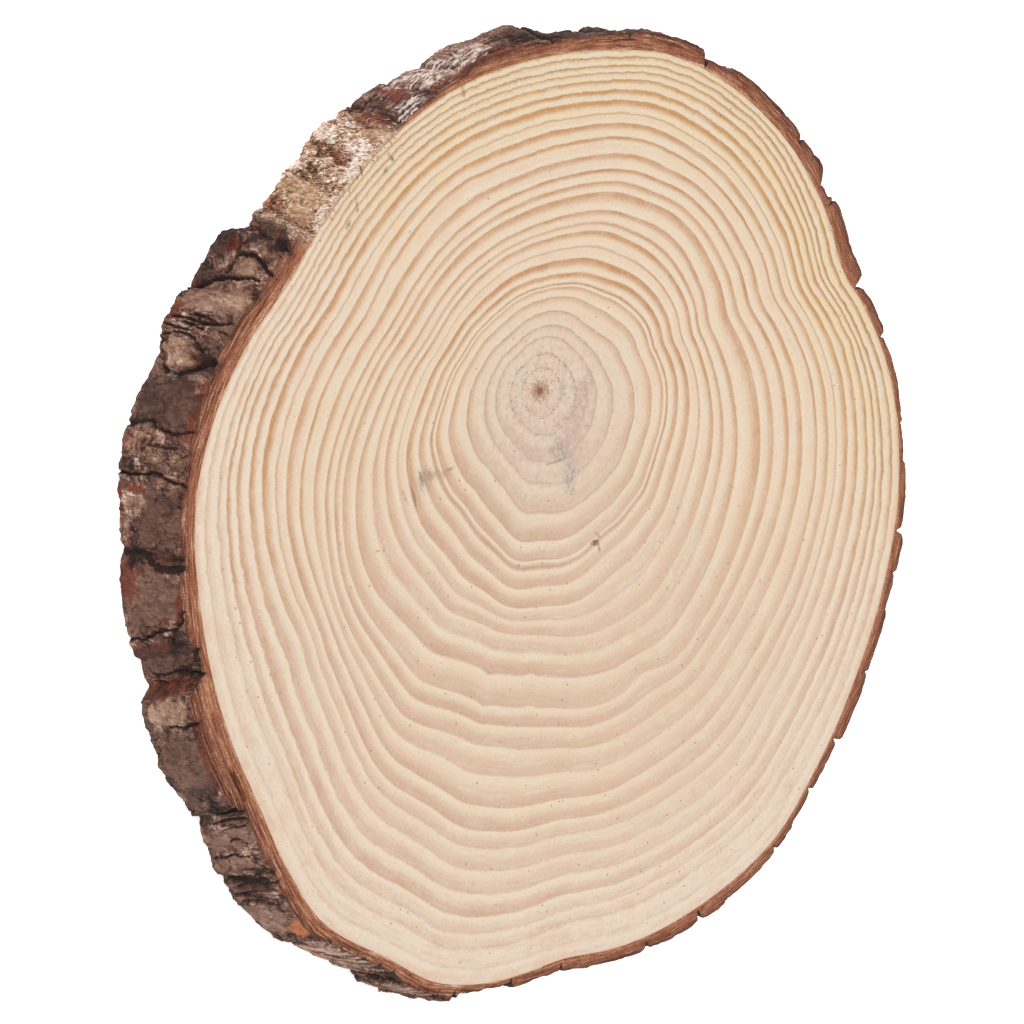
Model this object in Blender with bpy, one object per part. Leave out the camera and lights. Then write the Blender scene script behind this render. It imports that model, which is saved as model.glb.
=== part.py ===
"""Wood slice: a round cut straight across a pine trunk, with its bark on, lying on a sawn face.

+Z is up and runs along the trunk. The origin is in the middle of the lower sawn face.
The wood and its bark grew as one piece, so the slice is one solid.
Lengths in the lists are in millimetres and angles in degrees, counter-clockwise from +X seen from above.
"""

from math import cos, floor, radians, sin

import bmesh
import bpy

MM = 0.001

# Driving dimensions

THICKNESS = 27.0

# The middle of the wood lies this far from the middle of the whole slice, because the bark is uneven.
WOOD_CENTRE_X = 0.7
WOOD_CENTRE_Y = 1.1

# Edge of the wood, where the bark begins: direction, distance from the middle of the wood.
WOOD_EDGE = [
    (0, 142.2), (10, 136.8), (20, 138.0), (35, 139.6), (50, 141.4), (60, 139.4), (74, 138.7),
    (88, 140.5), (100, 142.8), (115, 142.6), (125, 139.0), (132, 135.8), (140, 140.1), (150, 143.7),
    (160, 145.3), (174, 145.6), (185, 142.4), (195, 140.4), (210, 138.9), (220, 137.2), (235, 134.3),
    (246, 133.3), (255, 137.4), (265, 141.4), (275, 143.2), (288, 141.6), (305, 141.0), (313, 141.4),
    (322, 145.0), (330, 148.0), (341, 145.5), (349, 146.6), (355, 144.8),
]

# Plates of bark in turn round the trunk: direction where the plate starts on the upper face,
# how far that start leans round by the lower face, thickness above and below,
# and depth of the furrow in front of the plate.
BARK_PLATES = [
    (1.5, 0.0, 3.3, 5.0, 1.5),
    (9.7, 0.5, 4.0, 5.5, 1.5),
    (24.3, -0.5, 4.0, 6.0, 3.0),
    (33.8, 0.5, 4.2, 6.5, 2.2),
    (38.5, 1.0, 3.2, 6.0, 1.3),
    (48.7, 0.0, 2.9, 5.5, 2.0),
    (52.8, -0.5, 2.0, 5.0, 0.5),
    (58.0, 0.5, 2.5, 6.0, 2.0),
    (65.5, 1.0, 4.2, 7.0, 2.2),
    (75.6, 0.0, 3.8, 6.5, 1.4),
    (84.2, -1.0, 3.3, 6.0, 1.5),
    (89.0, -0.5, 4.4, 7.0, 0.5),
    (94.5, 0.5, 2.9, 6.5, 3.2),
    (102.8, 1.0, 1.2, 5.0, 0.5),
    (108.5, 0.0, 1.8, 5.5, 0.8),
    (120.5, -1.0, 2.9, 6.0, 1.5),
    (128.5, 0.0, 6.0, 8.0, 3.6),
    (140.5, 0.5, 3.6, 7.0, 2.0),
    (143.3, 0.5, 6.5, 8.0, 0.5),
    (151.0, 1.0, 4.4, 6.5, 2.4),
    (153.7, 0.5, 5.6, 7.0, 0.5),
    (168.7, 0.0, 5.8, 6.5, 2.2),
    (181.5, -0.5, 5.0, 6.0, 1.5),
    (197.0, -2.0, 4.4, 5.2, 2.0),
    (207.0, -1.5, 2.6, 2.6, 0.5),
    (213.0, -1.0, 1.2, 3.8, 0.5),
    (219.0, -1.0, 0.9, 4.3, 0.5),
    (239.0, -2.0, 3.0, 4.0, 0.5),
    (243.5, -3.0, 6.1, 10.8, 1.5),
    (249.5, -1.0, 6.8, 11.4, 2.5),
    (259.0, -2.3, 5.6, 8.6, 3.2),
    (269.5, 0.0, 4.8, 7.6, 0.8),
    (281.0, -0.7, 5.8, 7.6, 2.8),
    (290.5, 2.0, 3.4, 4.8, 0.8),
    (294.3, 3.5, 9.3, 9.2, 0.8),
    (310.3, 3.0, 5.2, 6.4, 3.0),
    (320.0, 2.5, 5.4, 7.0, 3.0),
    (331.0, 3.0, 3.2, 5.0, 1.5),
    (343.0, 2.0, 3.8, 6.0, 1.2),
    (352.7, 1.0, 2.8, 4.4, 1.0),
]

FURROW_HALF_WIDTH = 0.35
BARK_BULGE = 0.8
PLATE_EDGE_ROUNDING = 0.6
LEAST_BARK = 0.5

# How finely the bark is divided: one column about every COLUMN_STEP degrees,
# and these heights as shares of the thickness.
COLUMN_STEP = 2.5
LEVELS = [0.0, 0.14, 0.38, 0.66, 0.88, 1.0]

# Finish
PINE = (0.80, 0.63, 0.44, 1.0)
PINE_ROUGHNESS = 0.62


def wood_radius(angle):
    """Distance from the middle of the wood to its edge, on a smooth closed curve through WOOD_EDGE."""
    count = len(WOOD_EDGE)
    angle = angle % 360.0
    after = next((i for i, (a, r) in enumerate(WOOD_EDGE) if a > angle), count)

    def point(i):
        a, r = WOOD_EDGE[i % count]
        return a + 360.0 * floor(i / count), r

    (a0, r0), (a1, r1), (a2, r2), (a3, r3) = (point(after + k) for k in (-2, -1, 0, 1))
    slope_1 = (r2 - r0) / (a2 - a0)
    slope_2 = (r3 - r1) / (a3 - a1)
    span = a2 - a1
    t = (angle - a1) / span
    rise = t * t * (3.0 - 2.0 * t)
    return (r1 + (r2 - r1) * rise
            + span * slope_1 * t * (1.0 - t) ** 2
            - span * slope_2 * t * t * (1.0 - t))


def between(low, high, share):
    return low + (high - low) * share


def bark_columns():
    """One tuple for each column of points: angle above, angle below, bark above, bark below."""
    columns = []
    for i, (start, lean, above, below, furrow) in enumerate(BARK_PLATES):
        last = BARK_PLATES[i - 1]
        floor_above = max(min(above, last[2]) - furrow, LEAST_BARK)
        floor_below = max(min(below, last[3]) - furrow, LEAST_BARK)
        columns.append((start, start + lean, floor_above, floor_below))

        following = BARK_PLATES[(i + 1) % len(BARK_PLATES)]
        turn = 360.0 if i + 1 == len(BARK_PLATES) else 0.0
        top = (start + FURROW_HALF_WIDTH, following[0] + turn - FURROW_HALF_WIDTH)
        foot = (start + lean + FURROW_HALF_WIDTH, following[0] + following[1] + turn - FURROW_HALF_WIDTH)
        steps = max(2, round((top[1] - top[0]) / COLUMN_STEP))
        for k in range(steps + 1):
            across = k / steps
            rounding = PLATE_EDGE_ROUNDING * (2.0 * across - 1.0) ** 4
            columns.append((
                between(top[0], top[1], across),
                between(foot[0], foot[1], across),
                max(above - rounding, LEAST_BARK),
                max(below - rounding, LEAST_BARK),
            ))
    return columns


def bark_point(column, share):
    """Place of a column's point at a height given as a share of the thickness."""
    angle_above, angle_below, above, below = column
    angle = between(angle_below, angle_above, share)
    bulge = BARK_BULGE * 4.0 * share * (1.0 - share)
    radius = wood_radius(angle) + between(below, above, share) + bulge
    turned = radians(angle)
    x = WOOD_CENTRE_X + radius * cos(turned)
    y = WOOD_CENTRE_Y + radius * sin(turned)
    return x * MM, y * MM, share * THICKNESS * MM


def build_slice():
    columns = bark_columns()
    bm = bmesh.new()
    rings = [[bm.verts.new(bark_point(column, share)) for column in columns] for share in LEVELS]
    for lower, upper in zip(rings, rings[1:]):
        for i in range(len(columns)):
            j = (i + 1) % len(columns)
            bm.faces.new((lower[i], lower[j], upper[j], upper[i]))

    # The two sawn faces are flat fans about the middle of the wood.
    middle_x, middle_y = WOOD_CENTRE_X * MM, WOOD_CENTRE_Y * MM
    foot = bm.verts.new((middle_x, middle_y, 0.0))
    head = bm.verts.new((middle_x, middle_y, THICKNESS * MM))
    for i in range(len(columns)):
        j = (i + 1) % len(columns)
        bm.faces.new((rings[0][j], rings[0][i], foot))
        bm.faces.new((rings[-1][i], rings[-1][j], head))
    bmesh.ops.recalc_face_normals(bm, faces=bm.faces)

    mesh = bpy.data.meshes.new("wood_slice")
    bm.to_mesh(mesh)
    bm.free()
    mesh.materials.append(pine())
    slice_object = bpy.data.objects.new("wood_slice", mesh)
    bpy.context.scene.collection.objects.link(slice_object)
    return slice_object


def pine():
    material = bpy.data.materials.new("pine")
    material.use_nodes = True
    shader = material.node_tree.nodes["Principled BSDF"]
    shader.inputs["Base Color"].default_value = PINE
    shader.inputs["Roughness"].default_value = PINE_ROUGHNESS
    shader.inputs["Metallic"].default_value = 0.0
    return material


for old in list(bpy.data.objects):
    bpy.data.objects.remove(old, do_unlink=True)

build_slice()
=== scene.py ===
"""Looks of the wood slice: sawn wood with growth rings, rough bark, torn fibres, floor, light and camera.

Lengths in the lists are in millimetres and directions in degrees, counter-clockwise from +X seen from above.
Directions in the wood are taken about the pith, and directions in the bark about the middle of the wood.
Bark heights are measured up from the lower sawn face.
"""

import bpy
import numpy as np
from mathutils import Matrix, Vector


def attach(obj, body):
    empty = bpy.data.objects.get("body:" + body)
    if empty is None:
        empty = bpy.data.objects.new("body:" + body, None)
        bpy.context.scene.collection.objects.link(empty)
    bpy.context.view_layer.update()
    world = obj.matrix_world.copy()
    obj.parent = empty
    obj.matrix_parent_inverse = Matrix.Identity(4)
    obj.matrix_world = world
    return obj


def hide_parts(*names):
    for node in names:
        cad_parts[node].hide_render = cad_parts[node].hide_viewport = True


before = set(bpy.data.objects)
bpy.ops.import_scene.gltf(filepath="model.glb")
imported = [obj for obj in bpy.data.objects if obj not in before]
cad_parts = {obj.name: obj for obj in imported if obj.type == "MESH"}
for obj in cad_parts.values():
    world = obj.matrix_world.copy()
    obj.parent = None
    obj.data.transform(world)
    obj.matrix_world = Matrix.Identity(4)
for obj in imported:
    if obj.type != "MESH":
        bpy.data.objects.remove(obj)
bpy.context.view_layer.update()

MM = 0.001
SEED = 7

# Outline: the thickness and the wood are as in the part, and the bark's plates are close to its own

THICKNESS = 27.0
WOOD_CENTRE = (0.7, 1.1)

# Edge of the wood: direction, distance from the middle of the wood.
WOOD_EDGE = [
    (0, 142.2), (10, 136.8), (20, 138), (35, 139.6), (50, 141.4), (60, 139.4), (74, 138.7), (88, 140.5),
    (100, 142.8), (115, 142.6), (125, 139), (132, 135.8), (140, 140.1), (150, 143.7), (160, 145.3),
    (174, 145.6), (185, 142.4), (195, 140.4), (210, 138.9), (220, 137.2), (235, 134.3), (246, 133.3),
    (255, 137.4), (265, 141.4), (275, 143.2), (288, 141.6), (305, 141), (313, 141.4), (322, 145),
    (330, 148), (341, 145.5), (349, 146.6), (355, 144.8),
]

# Plates of bark: direction where the plate starts on the upper face, how far that start leans round
# by the lower face, thickness above and below, and depth of the furrow in front of the plate.
BARK_PLATES = [
    (1.5, 0, 3.3, 5, 1.5), (9.7, 0.5, 4, 5.5, 1.5), (24.3, -0.5, 4, 6, 3), (33.8, 0.5, 4.2, 6.5, 2.2),
    (38.5, 1, 3.2, 6, 1.3), (48.7, 0, 2.9, 5.5, 2), (52.8, -0.5, 2, 5, 0.5), (58, 0.5, 2.5, 6, 2),
    (65.5, 1, 4.2, 7, 2.2), (75.6, 0, 3.8, 6.5, 1.4), (84.2, -1, 3.3, 6, 1.5), (89, -0.5, 4.4, 7, 0.5),
    (94.5, 0.5, 2.9, 6.5, 3.2), (102.8, 1, 1.2, 5, 0.5), (108.5, 0, 1.8, 5.5, 0.8),
    (120.5, -1, 2.9, 6, 1.5), (128.5, 0, 6, 8, 3.6), (140.5, 0.5, 3.6, 7, 2), (143.3, 0.5, 7.2, 8, 0.5),
    (146.4, 0.5, 6.3, 7.6, 0.3), (149.9, 1, 6.2, 7.2, 2), (153.7, 0.5, 6.1, 7, 0.5),
    (163.5, 0.5, 3.7, 5.6, 0.3), (168.7, 0, 5.8, 6.5, 2.2), (181.5, -0.5, 5, 6, 1.5),
    (193.6, -2, 4.4, 5.2, 2), (207, -1.5, 2.6, 2.6, 0.5), (213, -1, 1.2, 3.8, 0.5),
    (219, -1, 0.9, 4.3, 0.5), (238.5, -2.5, 5.2, 4.4, 0.5), (242.4, -3.4, 6.3, 10.8, 0.8),
    (249.5, 0.2, 6.8, 11.4, 2.5), (259, -2.3, 5.6, 8.6, 3.2), (269.5, 0, 4.8, 7.6, 0.8),
    (281, -0.7, 5.8, 7.6, 2.8), (290.5, 2, 3.4, 4.8, 0.8), (294.3, 2.6, 9.3, 9.2, 0.8),
    (310.3, 3, 5.2, 6.4, 3), (320, 2.5, 5.4, 7, 1.4), (331, 3, 3.2, 5, 1.5), (343, 2, 3.8, 6, 1.2),
    (350.3, 0.8, 5.3, 6.2, 0.3), (352.8, 1, 2.2, 4, 2.2),
]
BARK_BULGE = 0.8

# Growth rings

PITH = (-35.9, -18.5)
EDGE_GROWTH = 97.4
ROUND_GROWTH = 5.0
OUTLINE_GROWTH = 38.0

# The growth of a ring is its distance from the pith along direction 220, where the slice is narrowest.
# A ring's course gives its growth in other directions, as if the trunk were round.
RING_COURSES = [
    (17.5, [(0, 20), (60, 22), (100, 22.5), (120, 21.5), (140, 20), (180, 19.5), (220, 17.5),
            (260, 19), (300, 19.5), (340, 18.5)]),
    (21.5, [(0, 24), (40, 25), (60, 26), (100, 27), (120, 26.5), (140, 23.5), (180, 23.5),
            (220, 21.5), (260, 23.5), (300, 24), (340, 22)]),
    (33.0, [(0, 33), (20, 33.5), (40, 32.5), (60, 34), (80, 34.5), (120, 38.5), (160, 34),
            (220, 33), (260, 34.5), (280, 34), (300, 35.5), (340, 32)]),
    (36.5, [(0, 35.5), (20, 36.5), (40, 35.5), (60, 37), (80, 37.5), (120, 41.5), (160, 38),
            (220, 36.5), (260, 37.5), (280, 37), (300, 39), (320, 38), (340, 35)]),
    (43.5, [(0, 39.5), (20, 42), (60, 44.5), (100, 45.5), (120, 48), (140, 47.5), (200, 43.5),
            (280, 43.5), (300, 45), (320, 44.5), (340, 41)]),
    (48.0, [(0, 46), (20, 49), (60, 52), (100, 51.5), (120, 53.5), (140, 54.5), (160, 52),
            (200, 48.5), (240, 48.5), (280, 49.5), (300, 53), (320, 54), (340, 48.5)]),
    (60.0, [(0, 58), (20, 61.5), (40, 61.5), (60, 63.5), (80, 65.5), (140, 66.5), (160, 64),
            (200, 60), (260, 59), (280, 59), (300, 62), (320, 63), (340, 60.5)]),
    (71.0, [(0, 68), (20, 70), (40, 69.5), (60, 71.5), (80, 73.5), (120, 74.5), (160, 73),
            (200, 70), (220, 71), (280, 68), (300, 69), (320, 67)]),
    (82.5, [(0, 78.5), (20, 79.5), (60, 80.5), (100, 83), (140, 83.5), (200, 82), (240, 82),
            (280, 80.5), (300, 78.5), (320, 75.5), (340, 76.5)]),
    (93.5, [(0, 91.5), (40, 91), (70, 92.5), (120, 92.5), (140, 94), (190, 92.5), (240, 93.5),
            (280, 92), (320, 90), (345, 91)]),
]

# Rings from the pith outwards: growth at the ring's outer edge, width of its dark latewood, strength of
# the latewood in directions 0, 60, 120, 180, 240 and 300, and strength of the thin line at its very edge.
RINGS = [
    (2.6, 1.2, (0.7, 0.7, 0.7, 0.7, 0.7, 0.7), 0.4), (6.6, 0.6, (0.4, 0.4, 0.4, 0.4, 0.4, 0.4), 1.3),
    (10.4, 0.6, (0.4, 0.4, 0.4, 0.4, 0.4, 0.4), 1.3), (14.7, 0.9, (0.5, 0.5, 0.5, 0.45, 0.5, 0.6), 1.1),
    (17.5, 1, (0.6, 0.5, 0.5, 0.45, 0.5, 0.6), 0.9), (21.5, 1.2, (0.7, 0.6, 0.5, 0.5, 0.6, 0.7), 0.9),
    (25.9, 1.4, (0.65, 0.6, 0.55, 0.55, 0.6, 0.65), 0.6),
    (28.9, 0.9, (0.55, 0.55, 0.65, 0.6, 0.5, 0.7), 0.3), (30, 0.4, (0.7, 0.7, 0.7, 0.5, 0.4, 0.7), 1),
    (33, 1.4, (0.65, 0.6, 0.95, 0.85, 0.75, 0.65), 0.2), (36.5, 1.8, (0.65, 0.6, 0.95, 1, 1, 0.8), 0.2),
    (39.6, 0.5, (0.35, 0.35, 0.7, 0.3, 0.25, 0.35), 0.4),
    (43.5, 1.4, (0.6, 0.6, 0.95, 0.8, 0.75, 0.65), 0.2),
    (45.3, 0.6, (0.4, 0.35, 0.8, 0.45, 0.45, 0.45), 0.4),
    (48, 0.9, (0.6, 0.5, 0.75, 0.75, 0.65, 0.55), 0.5),
    (53.4, 2.4, (0.65, 0.6, 0.75, 0.8, 0.8, 0.65), 0.1),
    (56.4, 1.3, (0.65, 0.55, 0.65, 0.7, 0.65, 0.65), 0.2),
    (60, 1.1, (0.65, 0.55, 0.9, 0.85, 0.7, 0.75), 0.3),
    (65.2, 2, (0.65, 0.6, 0.85, 0.75, 0.7, 0.65), 0.1), (71, 1.2, (0.7, 0.6, 0.9, 0.9, 0.75, 0.8), 0.3),
    (75.3, 1.8, (0.65, 0.55, 0.75, 0.9, 0.75, 0.75), 0.1),
    (78.4, 0.5, (0.3, 0.35, 0.6, 0.4, 0.35, 0.35), 0.5), (82.5, 2, (0.7, 0.6, 0.95, 1, 0.95, 0.95), 0.2),
    (85.7, 1.4, (0.65, 0.6, 1, 1, 0.8, 0.85), 0.2), (88.9, 1.2, (0.55, 0.65, 1, 0.8, 0.8, 0.7), 0.4),
    (91.3, 0.8, (0.5, 0.65, 1, 0.5, 0.5, 0.9), 0.6), (93.5, 0.9, (0.35, 0.6, 1, 0.6, 0.6, 0.35), 0.8),
    (95.7, 0.8, (0.3, 0.5, 0.95, 0.55, 0.45, 0.3), 0.7),
    (97.4, 0.5, (0.3, 0.3, 0.3, 0.4, 0.9, 0.3), 0.5),
]

# Places where the rings swerve: direction, half width in degrees, growth, half range of growth, shift.
RING_SWERVES = [
    (317, 5, 82, 9, -1.1), (36, 4.0, 53, 3.5, -1.6), (309, 8, 49, 9, 0.7), (67, 8, 74, 12, 0.5),
    (104, 1.5, 87, 4, 0.6), (357.5, 1.3, 51, 5, 0.6), (8.5, 1.3, 51, 5, -0.6),
]
RING_WOBBLE = 0.07

# Rings look soft and pinkish round this direction. Between these two turns from it they become crisp and
# orange.
SOFT_DIRECTION = 8.0
SOFT_FADE = (42.0, 82.0)

# Rings are faintest round this direction.
FAINT_DIRECTION = 42.0
FAINT_HALF_WIDTH = 27.0
FAINT_SHARE = 0.4

# The outer wood is yellower round this direction, and fades to white between these two turns from it.
YELLOW_DIRECTION = 165.0
YELLOW_FADE = (60.0, 100.0)

WOOD_COLUMNS = 720
ROW_STEP = 1.35
LOWER_ROW_STEP = 2.6
PITH_HOLLOW = 0.5
PITH_HOLLOW_WIDTH = 1.6

# Values stored on the wood's points for its material
WOOD_VALUES = ("ring", "ring_width", "late_width", "late", "line", "soft", "growth", "yellow")

# Bake map of the wood: this width in mm takes up the first share of the map's width, and the middle of the
# face lies at the second.
FACE_SPAN = 310.0
UPPER_MAP = (0.86, 0.425)
LOWER_MAP = (0.30, 0.845)

# Bark surface

# Columns of points are closer together on the near side, between these two directions. Elsewhere each
# plate's start has extra columns, this many degrees from it.
NEAR_SIDE = (196.0, 352.0)
NEAR_COLUMN = 0.18
FAR_COLUMN = 0.6
FURROW_COLUMNS = (-0.42, -0.22, -0.09, 0.02, 0.12, 0.26, 0.46)
SIDE_ROWS = 48
TOP_BAND_ROWS = 14
LOWER_BAND_ROWS = 3

# Furrows are straighter round this direction, fading between these two turns from it.
FAR_DIRECTION = 94.0
FAR_FADE = (84.0, 92.0)

# The bark reaches this far into the wood, and its noise and patches count on this length round the trunk.
BARK_OVERLAP = 0.5
BARK_GIRTH = 900.0
PATCH_SQUARENESS = 2.6
LAYER_STEP = 0.4
CRACK_WIDTH = 0.75
CHIP_STEP = 2.6
PLATE_STEP = 0.9
THINNEST_BARK = 0.45
LOWER_BAND_HEIGHT = 0.12
BAKE_STRIPS = 4

# The bark is thicker by this much round this direction, fading between these two turns from it.
THICK_BARK = 0.9
THICK_DIRECTION = 80.0
THICK_FADE = (48.0, 64.0)

# Between these directions most furrows are among the named cracks below.
CRACKED_BARK = (241.5, 348.0)

# Slivers of bark lean more and more between these directions.
LEANING_BARK = (328.0, 336.0)

# Smoother stretches of the sawn edge: strength, first and last direction, and blur of each.
CALM_EDGES = [(0.5, 6.0, 145.0, 6.0, 15.0), (0.6, 190.0, 219.0, 4.0, 3.0)]

# Values stored on the bark's points for its material
BARK_VALUES = (
    "hollow_shade", "crest_highlight", "tone", "calm", "red", "orange", "tan", "pale", "dark", "torn", "knob", "sheaf",
    "sawn", "layer", "rim")

# Cracks: path as (direction, height), width and depth at its start, width and depth at its end.
BARK_CRACKS = [
    ([(190, 25), (196, 24), (205, 23.5)], 1.2, 1.2, 2.2, 2.2),
    ([(193.4, 20.5), (196.5, 19.2), (199.5, 19.8), (202.6, 18.6)], 0.7, 0.8, 1, 1),
    ([(196.8, 15.6), (199.8, 14.6), (203, 15.4), (206.4, 14.2)], 0.6, 0.7, 0.9, 0.9),
    ([(199, 11), (202.4, 10), (205.4, 10.8)], 0.6, 0.7, 0.7, 0.8),
    ([(203.4, 20.2), (206.2, 19.6), (208.6, 17.6), (210.4, 17.8)], 0.9, 0.9, 0.6, 0.7),
    ([(244.2, 10), (245.5, 11), (246.5, 12), (247.6, 11.5)], 1, 1.2, 1.4, 1.4),
    ([(245.4, 12), (244.9, 16), (245, 19), (245.4, 22.5), (246, 26.5)], 0.8, 1, 1.9, 1.6),
    ([(250.3, 0.5), (249.2, 5), (248.3, 9), (248.3, 12.5), (248, 17), (247.3, 22), (247.4, 24)],
     1.8, 2, 1.3, 1.2),
    ([(255.4, 3), (254.6, 8), (254.7, 15), (254.3, 20), (253.8, 25)], 1.3, 1.3, 1, 0.9),
    ([(253.9, 12.5), (253.3, 17), (253.2, 20.5)], 0.5, 0.5, 0.4, 0.4),
    ([(256.6, 1), (256.3, 8), (256, 13)], 0.9, 1, 0.5, 0.6),
    ([(257.9, 2.5), (256.9, 6.5), (256.6, 12), (256.9, 15), (257.5, 18), (258, 21)], 0.6, 0.9, 0.9, 1),
    ([(258.4, 26), (259, 23.5), (259.9, 20.5), (260.8, 17), (261.5, 13), (261.5, 8), (260.8, 4), (259.4, 2)],
     2.6, 1.8, 0.7, 1.1),
    ([(267.2, 0.5), (266.7, 6), (266.6, 12), (267.5, 12.8)], 1.3, 1.2, 0.8, 0.7),
    ([(267.3, 14), (267.4, 20), (267, 25), (266.7, 27)], 0.7, 0.8, 1, 1),
    ([(268.9, 12), (268.8, 17), (268.7, 22)], 0.5, 0.6, 0.6, 0.6),
    ([(272.1, 0.5), (272.3, 6), (272.3, 12), (272, 16), (272.4, 24), (272.8, 27)], 1.3, 1.3, 0.9, 0.9),
    ([(281.4, 2), (281.1, 8), (281.4, 14.5), (282, 18.5), (282.2, 22), (282, 26.5)], 0.5, 0.7, 3.1, 1.8),
    ([(289.1, 0.5), (289.2, 7), (289, 12), (288.7, 17), (288.6, 23), (288, 25.5), (286.8, 26.5)],
     1, 1.2, 0.9, 1.1),
    ([(289.7, 20.3), (290.8, 20)], 0.7, 0.9, 0.5, 0.7),
    ([(291.2, 26.8), (292.1, 25.5), (292.8, 24.5)], 1, 1.1, 0.7, 0.8),
    ([(293.2, 5), (293.4, 11), (293.2, 17)], 0.5, 0.6, 0.9, 0.9),
    ([(293.2, 17), (293.8, 20.5), (294.1, 23), (294.4, 26.5)], 0.7, 0.8, 1.8, 1.4),
    ([(299.4, 26.5), (299.2, 24), (299.5, 20.5), (299.3, 17.5), (299, 14)], 1.6, 1.4, 1.3, 0.9),
    ([(311.2, 12), (311.3, 18), (311, 26)], 0.9, 1, 1.3, 1.4),
    ([(312.6, 9), (312.3, 17), (312.7, 26)], 0.7, 0.8, 1.2, 1.2),
    ([(313.4, 14), (313.3, 18), (313.6, 25)], 0.4, 0.4, 0.6, 0.6),
    ([(315.2, 15), (315.1, 20), (315.9, 21.5), (316.6, 21)], 0.6, 0.7, 0.6, 0.7),
    ([(317, 2), (316.8, 6), (316.6, 14), (317.1, 17), (317.3, 21)], 0.8, 1, 0.7, 0.8),
    ([(318.4, 22), (319.3, 24.2), (320.4, 26.5)], 0.7, 0.8, 1.3, 1.3),
    ([(321.2, 7), (321, 13), (321.2, 19)], 0.8, 1.2, 1, 1.2),
    ([(320.6, 20), (321, 23), (321.6, 26.5)], 0.8, 1, 1.4, 1.3),
    ([(322.2, 4.5), (322.2, 10), (322.1, 15.5)], 0.7, 1, 0.7, 0.8),
    ([(323.2, 5), (323.3, 13), (323.6, 18), (324.3, 22.5)], 0.5, 0.6, 0.6, 0.7),
    ([(332, 2), (332.6, 9), (333.4, 18)], 0.9, 1.2, 0.6, 0.8),
    ([(331, 20), (331.8, 26)], 0.8, 0.9, 1, 1),
    ([(333.6, 4), (334.6, 12), (336, 21), (337, 26.5)], 1, 1.1, 0.9, 1),
    ([(335.8, 2), (337, 9), (338.6, 17), (339.6, 25)], 0.9, 1, 0.9, 1),
    ([(338.6, 2), (339.8, 8), (341.2, 17), (342.2, 25)], 1, 1, 0.9, 1),
    ([(341.2, 1), (342.4, 8), (343.6, 17), (344.6, 25)], 2.2, 1.6, 1.6, 1.4),
    ([(345.6, 1), (346.8, 9), (348.2, 18), (349.6, 26)], 0.8, 0.9, 0.7, 0.8),
]

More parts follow.
